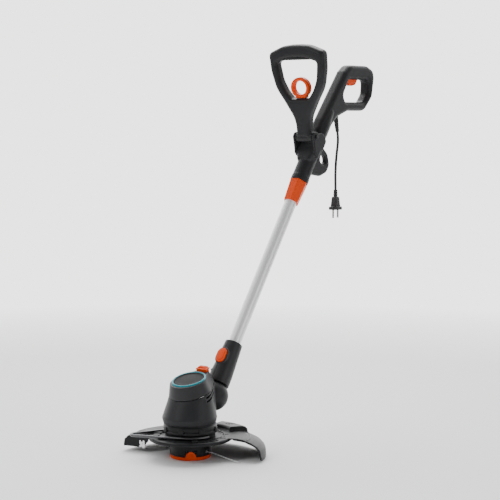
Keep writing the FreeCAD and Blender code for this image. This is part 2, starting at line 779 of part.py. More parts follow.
def loop_outline():
    """Front view of the loop handle, right half from the pivot up, then mirrored."""
    wide, tall = S.loop_half_width, S.loop_height
    return mirrored([(S.fork_half_gap - 0.6, -2), (S.fork_half_gap - 0.6, 40), (32, 64),
                     (wide - 31, S.loop_gap_floor - 4), (wide - 12, tall - 98), (wide - 4, tall - 70),
                     (wide, tall - 36), (wide - 4, tall - 15), (wide - 36, tall - 3), (14, tall)])


def loop_gap_outline():
    wide, tall = S.loop_half_width - S.loop_bar, S.loop_height - S.loop_top_bar
    return mirrored([(wide - 33, S.loop_gap_floor), (wide - 18, S.loop_gap_floor + 18),
                     (wide - 6, S.loop_gap_floor + 42), (wide, tall - 20), (wide - 2, tall - 8),
                     (wide - 12, tall)])


LOOP_SCREWS = [(64, 150), (-64, 150), (45, 196), (-45, 196), (29, 74), (-29, 74)]


def loop_shell(label, side):
    """Front (side -1) or rear (side 1) half of the loop handle."""
    piece = Piece(label, LOOP)
    low, high = side_span(side, 0, S.loop_half_depth)
    outline = piece.extrude(loop_outline(), "XZ", low, high)
    far = S.loop_half_depth + 5
    gap = piece.extrude(loop_gap_outline(), "XZ", -far, far, cut=True)
    piece.hollow("y")
    piece.round_corners(piece.body.Tip, outline.Profile[0], "XZ", 8)
    piece.round_corners(piece.body.Tip, gap.Profile[0], "XZ", 7)
    half = S.fork_half_gap - 0.6
    piece.cylinder(S.barrel_radius, 2 * half, (-half, 0, 0), "x")
    piece.box((-8, low, 8), (8, high, S.loop_gap_floor - 1))
    depth = S.loop_half_depth - 1
    low, high = side_span(side, 0, depth)
    piece.discs(LOOP_SCREWS, 4.2, "XZ", low, high)
    # what is cut out of it
    piece.cylinder(9.0, 10, (-5, 0, 0), "x", cut=True)
    piece.cylinder(S.pivot_radius + S.pin_gap, EVERYTHING, (-EVERYTHING / 2, 0, 0), "x", cut=True)
    piece.cylinder(S.rod_radius + 0.35, S.loop_gap_floor, (0, 0, 5), cut=True)
    piece.cylinder(5.6, 40, (0, 0, S.loop_gap_floor - 50), cut=True)
    piece.discs(LOOP_SCREWS, 1.5, "XZ", -depth + 1.5, depth + 2, cut=True)
    if side > 0:
        piece.discs(LOOP_SCREWS, 3.2, "XZ", depth - 2.4, depth + 5, cut=True)
    low, high = side_span(-side, 0, EVERYTHING)
    piece.box((-EVERYTHING, low, -EVERYTHING), (EVERYTHING, high, EVERYTHING), cut=True)


def loop_screws():
    piece = Piece("loop_screws", LOOP)
    depth = S.loop_half_depth - 1
    for across, height in LOOP_SCREWS:
        piece.cylinder(1.4, 2 * depth - 5, (across, -depth + 2.6, height), "y")
        piece.cylinder(3.0, 1.8, (across, depth - 2.4, height), "y")


def loop_grip():
    """The soft strip under the loop handle's top bar."""
    piece = Piece("loop_grip", LOOP)
    top = S.loop_height - S.loop_top_bar
    piece.extrude([(-38, top - 2.4), (38, top - 2.4), (40, top), (-40, top)], "XZ", -10, 10)


def ring_pull():
    piece = Piece("ring_pull", LOOP)
    middle = S.loop_gap_floor + S.ring_half_height + 0.6
    wide, tall = S.ring_half_width, S.ring_half_height
    half = S.ring_half_depth
    points = [(wide - 11, -tall), (wide, 5 - tall / 2), (wide, tall / 2 - 5), (wide - 11, tall)]
    piece.extrude([(across, middle + height) for across, height in mirrored(points)],
                  "XZ", -half, half, rounding=6)
    wide, tall = wide - S.ring_band, tall - S.ring_band + 2
    points = [(wide - 8, -tall), (wide, 4 - tall / 2), (wide, tall / 2 - 4), (wide - 8, tall)]
    piece.extrude([(across, middle + height) for across, height in mirrored(points)],
                  "XZ", -half - 1, half + 1, cut=True, rounding=5)
    piece.cylinder(S.rod_radius + 0.02, 5, (0, 0, S.loop_gap_floor), cut=True)


def latch_rod():
    """The rod from the ring pull down to the detent disc."""
    piece = Piece("latch_rod", LOOP)
    piece.cylinder(S.rod_radius, S.loop_gap_floor - 4, (0, 0, 8.7))
    piece.cylinder(5.2, 2.5, (0, 0, S.loop_gap_floor - 49))


# ---------------------------------------------------------------- tube and lower sleeve

def shaft_tube():
    piece = Piece("shaft_tube", SHAFT)
    piece.ring(S.tube_radius, S.tube_radius - S.tube_wall, S.tube_foot,
               S.fork_station + S.tube_above_fork)


def tube_end_bush():
    piece = Piece("tube_end_bush", SHAFT)
    top = S.fork_station + S.tube_above_fork
    piece.cylinder(S.tube_radius - S.tube_wall - 0.05, 14, (0, 0, top - 14))
    piece.cylinder(S.tube_radius, 3.5, (0, 0, top))
    piece.cylinder(7.5, 30, (0, 0, top - 20), cut=True)


def tube_foot_bush():
    """The plastic ring inside the tube's foot that the lower sleeve turns on."""
    piece = Piece("tube_foot_bush", SHAFT)
    piece.ring(S.tube_radius - S.tube_wall - 0.05, 7.5, S.tube_foot + 1, S.tube_foot + 32)


def shaft_lead():
    """The mains lead along the inside of the tube."""
    length = S.fork_station + S.tube_above_fork - S.tube_foot - 4
    Piece("shaft_lead", SHAFT).cylinder(7.3, length, (0, 0, S.tube_foot + 2))


def swivel_shell(label, side):
    """One half of the lower sleeve, which carries the head and turns on the tube."""
    piece = Piece(label, SHAFT)
    foot, top = S.swivel_foot - 8, S.swivel_top
    wide, narrow = S.swivel_foot_radius * side, S.swivel_top_radius * side
    piece.turned([(0, foot), (wide, foot), (wide, foot + 22), (narrow, top), (0, top)], angle=180)
    oval(piece, 2.5, -24.4, 0)
    piece.cylinder(BORE, EVERYTHING, (0, 0, S.tube_foot - 20.5), cut=True)
    piece.box((-9.6, -9.6, -5), (9.6, 9.6, S.tube_foot), cut=True)
    piece.ball(S.dome_radius + 0.6, cut=True)
    oval(piece, 0.35, -40, -15.2, cut=True)
    for across, height in SWIVEL_SCREWS:
        piece.cylinder(1.5, 30, (-15, across, height), "x", cut=True)
        piece.cylinder(3.2, 20, (-EVERYTHING / 20 - 14.5, across, height), "x", cut=True)
    keep_side(piece, side)


SWIVEL_SCREWS = [(18.4, 52), (17.0, 112), (-18.4, 52)]


def oval(piece, gap, low, high, cut=False):
    """Add or cut the button's long round shape, larger by a gap."""
    radius = S.oval_half_width + gap
    apart = S.oval_half_length - S.oval_half_width
    deep = as_size(high) - low
    for station in (S.oval_station - apart, S.oval_station + apart):
        piece.cylinder(radius, deep, (0, low, station), "y", cut)
    piece.box((-radius, low, S.oval_station - apart), (radius, high, S.oval_station + apart), cut)


def swivel_screws():
    piece = Piece("swivel_screws", SHAFT)
    for across, height in SWIVEL_SCREWS:
        piece.cylinder(1.4, 24, (-14.4, across, height), "x")
        piece.cylinder(3.0, 1.8, (-16.35, across, height), "x")


def swivel_button():
    """The oval button that frees the head to turn to edging."""
    piece = Piece("swivel_button", SHAFT)
    oval(piece, 0, -26.8, -17.4)
    piece.cylinder(5.2, 6, (0, -23.4, S.oval_station), "y", cut=True)


def swivel_spring():
    station = SIZES["oval_station"]
    helix = Part.makeHelix(1.8, 5.4, 3.6)
    section = Part.Wire(Part.Circle(VECTOR(3.6, 0, 0), VECTOR(0, 1, 0), 0.5).toShape())
    spring = Part.Wire(helix.Edges).makePipeShell([section], True, True)
    spring.rotate(VECTOR(0, 0, 0), VECTOR(1, 0, 0), -90)
    spring.translate(VECTOR(0, -21.3, station))
    solid_piece("swivel_spring", spring, SHAFT)


def tilt_knuckle():
    """The block in the lower sleeve's foot whose tongue turns on the tilt pin."""
    piece = Piece("tilt_knuckle", SHAFT)
    half = S.tongue_half_width
    piece.cylinder(S.tube_radius + 0.2, S.tube_foot - 41, (0, 0, 40))
    piece.box((-half, -half, 0), (half, half, 41))
    piece.cylinder(S.tongue_radius, 2 * half, (-half, 0, 0), "x")
    piece.cylinder(S.tilt_pin_radius + S.pin_gap, 2 * half + 2, (-half - 1, 0, 0), "x", cut=True)


# ---------------------------------------------------------------- motor head

HEAD_TILT = (8.0, 35.0)     # degrees the shaft can rise and drop from rest


def housing_eggs(piece, inset, foot, seam_rise=0.0):
    """The housing's level outlines from its foot up to the sloping seam."""
    return [piece.egg(S.housing_foot_radius - inset, 47 - inset, 12, foot, forward=-2),
            piece.egg(S.housing_radius - inset, 50 - inset, 12, S.housing_waist, forward=-2),
            piece.egg(S.cap_front_radius - inset, S.cap_rear_radius - inset, S.cap_spacing,
                      S.cap_centre_height + seam_rise, tilt=S.cap_lean)]


def tongue_slot():
    """Side view of the slot that the tongue swings through, seen from the ground frame."""
    rise, drop = S.shaft_lean - HEAD_TILT[0] - 1, S.shaft_lean + HEAD_TILT[1] + 1
    half, far = S.tongue_half_width + 0.6, S.dome_radius + 12

    def corner(angle, across, along):
        back = S.hinge_back + across * cosine(angle) + along * sine(angle)
        return (back, S.hinge_height - across * sine(angle) + along * cosine(angle))

    middle = (rise + drop) / 2
    return [corner(rise, -half, 0), corner(rise, -half, far), corner(middle, 0, far * 1.25),
            corner(drop, half, far), corner(drop, half, 0)]


def housing_shell(label, side):
    """One half of the motor housing with its half of the hinge dome."""
    piece = Piece(label)
    wall = S.shell_wall
    piece.loft(housing_eggs(piece, 0, S.housing_foot))
    piece.loft(housing_eggs(piece, wall, S.housing_foot + wall, seam_rise=0.01), cut=True)
    hinge = (0, S.hinge_back, S.hinge_height)
    piece.ball(S.dome_radius, hinge)
    piece.cylinder(17, wall + 2, (0, 0, S.housing_foot - 1), cut=True)
    slot = S.tongue_half_width + 0.4
    piece.extrude(tongue_slot(), "YZ", -slot, slot, cut=True)
    piece.cylinder(S.tongue_radius + 0.5, 2 * slot, (-slot, *hinge[1:]), "x", cut=True)
    piece.cylinder(S.tilt_pin_radius + S.pin_gap, 2 * (S.dome_radius - 2),
                   (2 - S.dome_radius, *hinge[1:]), "x", cut=True)
    for rise in (0, 7.5):
        low, high = side_span(side, 30, 70)
        piece.extrude([(-4, 121 + rise), (42, 134.4 + rise), (42, 137.2 + rise), (-4, 123.8 + rise)],
                      "YZ", low, high, cut=True)
    for x, y in MOTOR_SCREWS:
        piece.cylinder(1.6, 8, (x, y, S.housing_foot - 2), cut=True)
    keep_side(piece, side)


MOTOR_SCREWS = [(34, 20), (-34, 20), (34, -20), (-34, -20)]


def tilt_pin():
    length = 2 * (S.dome_radius - 2.2)
    at = (-length / 2, S.hinge_back, S.hinge_height)
    Piece("tilt_pin").cylinder(S.tilt_pin_radius, length, at, "x")


def motor_cap():
    """The sloping cover over the motor, with a seat for the lid and the tilt button."""
    piece = Piece("motor_cap", CAP)
    taper = -S.cap_taper
    outside = piece.egg(S.cap_front_radius, S.cap_rear_radius, S.cap_spacing, 0.3)
    piece.sweep(outside, S.cap_height, taper=taper)
    wall = S.shell_wall
    inside = piece.egg(S.cap_front_radius - wall, S.cap_rear_radius - wall, S.cap_spacing, 0.2)
    inner = piece.body.newObject("PartDesign::Pocket", "motor_cap_hollow")
    inner.Profile = inside
    bind(inner, "Length", S.cap_height - wall)
    bind(inner, "TaperAngle", taper)
    inner.Reversed = True
    inner.Refine = False
    top = S.cap_height + 0.3
    piece.cylinder(S.lid_radius + S.lid_ring_band + 0.2, 3, (0, S.lid_back, top - 1.2), cut=True)
    piece.box((-13.4, 45.6, top - 10), (13.4, 58.4, top + 5), cut=True)


def cap_lid():
    """The round textured lid in the cap."""
    piece = Piece("cap_lid", CAP)
    low = S.cap_height - 0.9
    piece.cylinder(S.lid_radius, 3.2, (0, S.lid_back, low))
    piece.cylinder(S.lid_radius - 4, 2, (0, S.lid_back, low + 2.4), cut=True)


def lid_ring():
    piece = Piece("lid_ring", CAP)
    low = S.cap_height - 0.9
    outer = S.lid_radius + S.lid_ring_band
    piece.ring(outer, S.lid_radius + 0.1, low, low + 3.8, centre=(0, S.lid_back))


def tilt_button():
    """The button behind the lid that frees the head's tilt."""
    piece = Piece("tilt_button", CAP)
    top = S.cap_height
    piece.box((-13, 46, top - 6), (13, 58, top + 3.4))
    piece.cylinder(3.8, 6, (0, 52, top - 7), cut=True)


def base_collar():
    piece = Piece("base_collar")
    piece.ring(S.collar_radius, S.collar_radius - 10, S.guard_top, S.housing_foot)
    for x, y in GUARD_SCREWS:
        piece.cylinder(1.7, 20, (x, y, S.guard_top - 1), cut=True)


GUARD_SCREWS = [(48, 0), (-24, 41.57), (-24, -41.57)]


def bearing_plate():
    """The plate over the housing's floor that carries the lower bearing."""
    piece = Piece("bearing_plate")
    low = S.housing_foot + S.shell_wall
    piece.ring(43, 11.05, low, low + 4)
    for x, y in MOTOR_SCREWS:
        piece.cylinder(1.6, 10, (x, y, low - 2), cut=True)


def motor_screws():
    piece = Piece("motor_screws")
    low = S.housing_foot + S.shell_wall
    for x, y in MOTOR_SCREWS:
        piece.cylinder(1.5, 8.2, (x, y, low - 4))
        piece.cylinder(3.0, 1.8, (x, y, low + 4.1))


def motor_bearings():
    piece = Piece("motor_bearings")
    low, top = S.housing_foot + S.shell_wall, S.motor_foot + S.motor_height
    piece.cylinder(11, 5, (0, 0, low))
    piece.cylinder(9.5, 5, (0, 0, top - 0.5))
    piece.cylinder(S.motor_shaft_radius + 0.02, top - low + 10, (0, 0, low - 2), cut=True)


def motor_can():
    """The motor's steel frame with its field magnets."""
    piece = Piece("motor_can")
    foot, top = S.motor_foot + 8, S.motor_foot + S.motor_height
    piece.ring(S.motor_radius, S.motor_radius - 2, foot, top + 2)
    piece.cylinder(S.motor_radius, 6, (0, 0, top))
    piece.cylinder(9.55, 8, (0, 0, top - 1), cut=True)
    for angle in (0, 90, 180, 270):
        x = math.cos(math.radians(angle)) * (SIZES["motor_radius"] - 4.4)
        y = math.sin(math.radians(angle)) * (SIZES["motor_radius"] - 4.4)
        piece.cylinder(2.5, top - foot - 14, (x, y, foot + 2))


def motor_shaft():
    Piece("motor_shaft").cylinder(S.motor_shaft_radius, S.motor_foot + S.motor_height - 6, (0, 0, 10))


def rotor_core():
    piece = Piece("rotor_core")
    foot, top = S.motor_foot + 14, S.motor_foot + S.motor_height - 14
    piece.ring(S.motor_radius - 10, S.motor_shaft_radius, foot, top)
    for step in range(10):
        angle = math.radians(36 * step)
        radius = SIZES["motor_radius"] - 11
        piece.cylinder(1.4, top - foot + 2, (radius * math.cos(angle), radius * math.sin(angle),
                                             foot - 1), cut=True)


def commutator():
    top = S.motor_foot + S.motor_height - 3
    Piece("commutator").ring(10, S.motor_shaft_radius, top - 9, top)


def cooling_fan():
    piece = Piece("cooling_fan")
    low = S.motor_foot + 1
    piece.ring(29, S.motor_shaft_radius, low, low + 1.6)
    for step in range(6):
        angle = math.radians(60 * step)
        for reach in (12, 18, 24):
            piece.cylinder(1.6, 5, (reach * math.cos(angle), reach * math.sin(angle), low))


def motor_lead_block():
    """The terminal block where the lead meets the motor."""
    piece = Piece("terminal_block", CAP)
    top = S.cap_height - S.shell_wall
    piece.box((-9, 20, top - 10), (9, 34, top))


# ---------------------------------------------------------------- guard and hoop

def sector(piece, points, angle, middle, cut=False):
    """Revolve an outline through an angle centred on a heading from the tool's front."""
    feature = piece.turned(points, cut=cut, angle=angle)
    profile = feature.Profile[0]
    turn = FreeCAD.Rotation(VECTOR(0, 1, 0), middle - 90)
    profile.AttachmentOffset = FreeCAD.Placement(VECTOR(0, 0, 0), turn)
    return feature


GUARD_START, GUARD_END = -75.5, -254.0      # headings: right front, round the back, left


def guard():
    """The round plate under the motor and the sloping shield behind it."""
    piece = Piece("guard")
    top, plate = S.guard_top, S.guard_plate
    inner, disc = S.collar_radius - 13, S.disc_radius
    piece.turned([(inner, top - plate), (disc - plate, top - plate), (disc - plate, top - S.disc_rim),
                  (disc, top - S.disc_rim), (disc, top), (inner, top)])
    shoulder, reach, brim = S.guard_shoulder, S.guard_reach, S.guard_brim
    wall = S.guard_plate
    skirt = [(disc - 2, top - plate), (shoulder - 1, top - plate), (reach - wall, brim - plate),
             (reach - wall, S.guard_skirt_foot), (reach, S.guard_skirt_foot), (reach, brim),
             (shoulder, top), (disc - 2, top)]
    sector(piece, skirt, GUARD_START - GUARD_END, (GUARD_START + GUARD_END) / 2)
    flap = [(reach - wall, 0.6), (reach, 0.6), (reach, brim - 4), (reach - wall, brim - 4)]
    sector(piece, flap, 48, GUARD_END + 24)
    deck = [(disc + 3, top - plate), (disc + 3, top + 9), (disc + 6, top + 11), (148, top + 11),
            (153, top + 6), (154, brim + 5), (148, brim + 8), (shoulder, top - 2)]
    sector(piece, deck, 34, -190)
    wall_outline = [(disc + 6, top - 1), (disc + 14, 22), (disc + 26, S.guard_skirt_foot),
                    (reach - 1, S.guard_skirt_foot), (reach - 1, brim), (shoulder, top - 1)]
    sector(piece, wall_outline, 1.3, GUARD_START - 0.65)
    for x, y in GUARD_SCREWS:
        piece.cylinder(1.7, 8, (x, y, top - 6), cut=True)


def guard_screws():
    piece = Piece("guard_screws")
    low = S.guard_top - S.guard_plate
    for x, y in GUARD_SCREWS:
        piece.cylinder(1.5, 16, (x, y, low - 0.2))
        piece.cylinder(3.0, 1.8, (x, y, low - 2))


def line_cutter():
    """The steel blade that trims the line to length."""
    piece = Piece("line_cutter")
    sector(piece, [(104, 8), (121, 8), (124, 14), (122, 34), (107, 34)], 0.6, GUARD_START + 0.31)


def plant_hoop():
    """The wire hoop hooked round the base collar that keeps the line off plants."""
    wire = SIZES["hoop_wire"]
    ring, tip = SIZES["collar_radius"] + wire + 0.4, 13.0
    apart = SIZES["hoop_reach"] - tip - wire
    height = SIZES["guard_top"] + wire + 1.0
    slope = math.asin((ring - tip) / apart)

    def round_ring(angle):
        return VECTOR(ring * math.cos(angle), ring * math.sin(angle), height)

    def round_tip(angle):
        return VECTOR(apart + tip * math.cos(angle), tip * math.sin(angle), height)

    meet = math.pi / 2 - slope
    hook = meet + math.radians(62)
    edges = [Part.Arc(round_ring(-hook), round_ring(-(hook + meet) / 2), round_ring(-meet)).toShape(),
             Part.LineSegment(round_ring(-meet), round_tip(-meet)).toShape(),
             Part.Arc(round_tip(-meet), round_tip(0), round_tip(meet)).toShape(),
             Part.LineSegment(round_tip(meet), round_ring(meet)).toShape(),
             Part.Arc(round_ring(meet), round_ring((hook + meet) / 2), round_ring(hook)).toShape()]
    path = Part.Wire(edges)
    solid = tube_along(path, wire)
    solid.rotate(VECTOR(0, 0, 0), VECTOR(0, 0, 1), HOOP_HEADING - 90)
    solid_piece("plant_hoop", solid)


HOOP_HEADING = -46.0        # from the tool's front towards its right


# ---------------------------------------------------------------- cutting head

TAB_HEADINGS = (41.6, 221.6)


def spool_housing():
    """The turning drum that holds the line spool."""
    piece = Piece("spool_housing")
    top, radius = S.spool_top, S.spool_radius
    low = S.cap_rim + 0.5
    piece.turned([(S.motor_shaft_radius + 0.02, low), (9, low), (9, top - 3), (radius - 3, top - 3),
                  (radius - 3, low), (radius, low), (radius, top - 3), (radius - 3, top), (13, top),
                  (13, top + 4), (S.motor_shaft_radius + 0.02, top + 4)])
    for heading in TAB_HEADINGS:
        window = [(radius - 4, low - 1), (radius + 1, low - 1), (radius + 1, 20.6), (radius - 4, 20.6)]
        sector(piece, window, 31, heading, cut=True)
    piece.cylinder(2.25, 10, (radius - 6, 0, 17), "x", cut=True)


def spool_cap():
    """The cover under the spool with its two snap tabs."""
    piece = Piece("spool_cap")
    radius, rim = S.spool_radius, S.cap_rim
    piece.turned([(0, 0), (radius - 3, 0), (radius, 3), (radius, rim), (radius - 3, rim),
                  (radius - 3, 3), (0, 3)])
    for heading in TAB_HEADINGS:
        tab = [(radius - 2.6, 2), (radius, 2), (radius, 20), (radius - 2.6, 20)]
        sector(piece, tab, 30, heading)


def line_spool():
    piece = Piece("line_spool")
    top = S.spool_top - 6
    piece.turned([(9.5, 9), (36, 9), (36, 11), (15, 11), (15, top - 2), (36, top - 2), (36, top),
                  (9.5, top)])


def wound_line():
    Piece("wound_line").ring(31, 15.3, 11.3, S.spool_top - 8.3)


def spool_spring():
    coil_spring("spool_spring", GROUND, (0, 0, 3.9), 12.0, 0.7, 3.8, 2.5)


def line_eyelet():
    piece = Piece("line_eyelet")
    radius = S.spool_radius
    piece.cylinder(2.2, 3.6, (radius - 3.2, 0, 17), "x")
    piece.cylinder(3.4, 1.2, (radius + 0.1, 0, 17), "x")
    piece.cylinder(1.2, 10, (radius - 5, 0, 17), "x", cut=True)


LINE_RUN = [(38.0, 0.0, 17.0), (50.0, 0.4, 17.0), (64.0, 1.4, 15.6), (80.0, 3.4, 12.4),
            (96.0, 6.4, 8.2), (111.0, 10.2, 4.4), (125.0, 14.8, 1.6)]


def cutting_line():
    wire, radii = route_wire(LINE_RUN)
    radius = SIZES["line_radius"]
    solid = tube_along(wire, radius)
    report_route("cutting line", wire, radii, radius, solid)
    solid_piece("cutting_line", solid)


# ---------------------------------------------------------------- build

def check_document():
    """Stop if any object failed or any sub-part has no valid shape."""
    for item in DOC.Objects:
        if {"Invalid", "Error"} & set(item.State):
            raise RuntimeError(f"{item.Label} did not compute")
    for item in PIECES:
        if item.Shape.isNull() or not item.Shape.isValid() or item.Shape.Volume <= 0:
            raise RuntimeError(f"{item.Label} has no valid shape")


def write_pieces():
    os.makedirs("parts", exist_ok=True)
    for item in PIECES:
        item.Shape.exportStep(f"parts/{item.Label}.step")
    print(len(PIECES), "sub-parts written")


def build():
    handle_shell("handle_shell_left", 1)
    handle_shell("handle_shell_right", -1)
    upper_screws()
    trigger()
    trigger_pin()
    switch_block()
    strain_relief()
    supply_cord()
    plug()
    tube_collet()
    clamp_collar()
    fork_bolt()
    detent_disc()
    coiled_lead()
    loop_shell("loop_shell_front", -1)
    loop_shell("loop_shell_rear", 1)
    loop_screws()
    loop_grip()
    ring_pull()
    latch_rod()
    coil_spring("latch_spring", LOOP, (0, 0, SIZES["loop_gap_floor"] - 45.8), 4.0, 0.6, 26, 9)
    shaft_tube()
    tube_end_bush()
    tube_foot_bush()
    shaft_lead()
    swivel_shell("swivel_shell_left", 1)
    swivel_shell("swivel_shell_right", -1)
    swivel_screws()
    swivel_button()
    swivel_spring()
    tilt_knuckle()
    housing_shell("motor_housing_left", 1)
    housing_shell("motor_housing_right", -1)
    tilt_pin()
    motor_cap()
    cap_lid()
    lid_ring()
    tilt_button()
    base_collar()
    bearing_plate()
    motor_screws()
    motor_bearings()
    motor_can()
    motor_shaft()
    rotor_core()
    commutator()
    cooling_fan()
    motor_lead_block()
    guard()
    guard_screws()
    line_cutter()
    plant_hoop()
    spool_housing()
    spool_cap()
    line_spool()
    wound_line()
    spool_spring()
    line_eyelet()
    cutting_line()
    DOC.recompute()
    check_document()
    write_pieces()


build()
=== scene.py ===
"""Looks of a corded string trimmer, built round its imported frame.

The tool stands on its spool cap. -Y is its front, +X its left and +Z up, in metres. Each
sub-assembly is modelled in millimetres in its own place on the tool and then set down there.
"""
import logging
import math
from dataclasses import dataclass
from enum import Enum
from typing import Callable, Dict, Iterable, List, Optional, Sequence, Tuple, Union

import bpy
from mathutils import Matrix, Vector


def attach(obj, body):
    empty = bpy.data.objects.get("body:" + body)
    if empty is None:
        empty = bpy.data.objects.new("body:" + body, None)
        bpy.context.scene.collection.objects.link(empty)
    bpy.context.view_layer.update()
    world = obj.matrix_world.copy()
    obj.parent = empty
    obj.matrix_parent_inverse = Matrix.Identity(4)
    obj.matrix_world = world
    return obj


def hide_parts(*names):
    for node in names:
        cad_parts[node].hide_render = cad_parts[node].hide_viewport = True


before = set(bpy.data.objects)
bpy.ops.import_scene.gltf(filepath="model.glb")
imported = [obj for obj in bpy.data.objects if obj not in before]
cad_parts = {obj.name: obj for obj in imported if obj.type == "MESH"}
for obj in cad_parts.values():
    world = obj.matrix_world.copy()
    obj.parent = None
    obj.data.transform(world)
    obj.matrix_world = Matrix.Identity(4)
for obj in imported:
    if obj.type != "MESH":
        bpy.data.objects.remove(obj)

LOG = logging.getLogger("trimmer")
MILLIMETRE = 0.001
Point2 = Tuple[float, float]
Point3 = Tuple[float, float, float]
Outline = List[Point2]
Colour = Tuple[float, float, float]
Paint = Tuple[float, float, float, float]
Sockets = Dict[Union[str, int], object]
Piece = bpy.types.Object
Material = bpy.types.Material


# ---- shader arithmetic

Term = Union["Signal", float, int]


class Signal:
    """A shader socket that takes part in Python arithmetic."""

    def __init__(self, bench: "ShaderBench", socket: bpy.types.NodeSocket) -> None:
        """Wrap a socket of the bench's material."""
        self.bench = bench
        self.socket = socket

    def _maths(self, operation: str, first: Term, second: Term = 0.0, clamp: bool = False) -> "Signal":
        """Add a Math node and return its result."""
        settings = {"operation": operation, "use_clamp": clamp}
        return self.bench.make("ShaderNodeMath", settings, {0: first, 1: second}).out("Value")

    def __add__(self, other: Term) -> "Signal":
        """self + other."""
        return self._maths("ADD", self, other)

    def __radd__(self, other: Term) -> "Signal":
        """other + self."""
        return self._maths("ADD", other, self)

    def __sub__(self, other: Term) -> "Signal":
        """self - other."""
        return self._maths("SUBTRACT", self, other)

    def __rsub__(self, other: Term) -> "Signal":
        """other - self."""
        return self._maths("SUBTRACT", other, self)

    def __mul__(self, other: Term) -> "Signal":
        """self * other."""
        return self._maths("MULTIPLY", self, other)

    def __rmul__(self, other: Term) -> "Signal":
        """other * self."""
        return self._maths("MULTIPLY", other, self)

    def __truediv__(self, other: Term) -> "Signal":
        """self / other."""
        return self._maths("DIVIDE", self, other)

    def __abs__(self) -> "Signal":
        """The size of self without its sign."""
        return self._maths("ABSOLUTE", self)

    def clipped(self) -> "Signal":
        """self kept between 0 and 1."""
        return self._maths("ADD", self, 0.0, clamp=True)

    def sine(self) -> "Signal":
        """The sine of self."""
        return self._maths("SINE", self)


@dataclass
class Made:
    """A node that a bench has made."""

    bench: "ShaderBench"
    node: bpy.types.Node

    def out(self, name: Union[str, int]) -> Signal:
        """One of the node's results as a Signal."""
        return Signal(self.bench, self.node.outputs[name])


class ShaderBench:
    """Makes one material and the nodes in it."""

    def __init__(self, name: str) -> None:
        """Start a material with an empty node tree."""
        self.material = bpy.data.materials.new(name)
        self.material.use_nodes = True
        self.tree = self.material.node_tree
        self.tree.nodes.clear()
        self.position = self.make("ShaderNodeTexCoord", {}, {}).out("Object")

    def make(self, kind: str, settings: Dict[str, object], sockets: Sockets) -> Made:
        """Make any node.

        Args:
            kind: the node's type.
            settings: attributes that are set before the sockets.
            sockets: values, or Signals to link, by socket name or number.

        Returns:
            The node, wrapped.
        """
        node = self.tree.nodes.new(kind)
        for name, value in settings.items():
            setattr(node, name, value)
        for name, value in sockets.items():
            if isinstance(value, Signal):
                self.tree.links.new(value.socket, node.inputs[name])
            else:
                node.inputs[name].default_value = value
        return Made(self, node)

    def grain(self, size: float, detail: float = 2.0, stretch: Point3 = (1.0, 1.0, 1.0)) -> Signal:
        """Noise between 0 and 1.

        Args:
            size: the width of one grain in millimetres.
            detail: how many finer layers lie on it.
            stretch: how much finer the grain is along each axis.

        Returns:
            The noise.
        """
        scaled = self.make("ShaderNodeVectorMath", {"operation": "MULTIPLY"}, {0: self.position, 1: stretch})
        noise = self.make("ShaderNodeTexNoise", {"noise_dimensions": "3D"},
                          {"Vector": scaled.out("Vector"), "Scale": 1.0 / (size * MILLIMETRE),
                           "Detail": detail})
        return noise.out("Fac")

    def cells(self, size: float) -> Signal:
        """Distance to the nearest of evenly strewn points, for pits and pebbles."""
        return self.make("ShaderNodeTexVoronoi", {"feature": "F1"},
                         {"Vector": self.position, "Scale": 1.0 / (size * MILLIMETRE)}).out("Distance")

    def along(self, direction: Point3) -> Signal:
        """How far a point lies along a direction, in metres."""
        return self.make("ShaderNodeVectorMath", {"operation": "DOT_PRODUCT"},
                         {0: self.position, 1: direction}).out("Value")

    def edges(self) -> Signal:
        """Near 1 on outer edges and near 0 on flats, for painted highlights on edges and corners."""
        pointed = self.make("ShaderNodeNewGeometry", {}, {}).out("Pointiness")
        return ((pointed - 0.52) * 14.0).clipped()

    def tint(self, amount: Term, first: object, second: object) -> Signal:
        """A colour between two colours."""
        mixed = self.make("ShaderNodeMix", {"data_type": "RGBA", "blend_type": "MIX"},
                          {0: amount, 6: first, 7: second})
        return Signal(self, mixed.node.outputs[2])

    def relief(self, height: Signal, depth: float, under: Optional[Signal] = None) -> Signal:
        """A bumped normal.

        Args:
            height: the surface's height between 0 and 1.
            depth: the height of 1, in millimetres.
            under: a relief that this one lies on.

        Returns:
            The normal.
        """
        sockets: Sockets = {"Height": height, "Distance": depth * MILLIMETRE, "Strength": 1.0}
        if under is not None:
            sockets["Normal"] = under
        return self.make("ShaderNodeBump", {}, sockets).out("Normal")

    def done(self, sockets: Sockets) -> Material:
        """Close the material with a Principled shader."""
        shader = self.make("ShaderNodeBsdfPrincipled", {}, sockets)
        self.make("ShaderNodeOutputMaterial", {}, {"Surface": shader.out("BSDF")})
        return self.material


def paint(colour: Colour, factor: float = 1.0, lift: float = 0.0) -> Paint:
    """A colour with its alpha, made darker or lighter by a factor and then lifted towards white."""
    return (*(min(1.0, value * factor + lift) for value in colour), 1.0)


# ---- finishes

@dataclass(frozen=True)
class Seam:
    """The parting line of two half shells: the plane that it lies in."""

    normal: Point3
    offset: float
    half_width: float = 0.00025


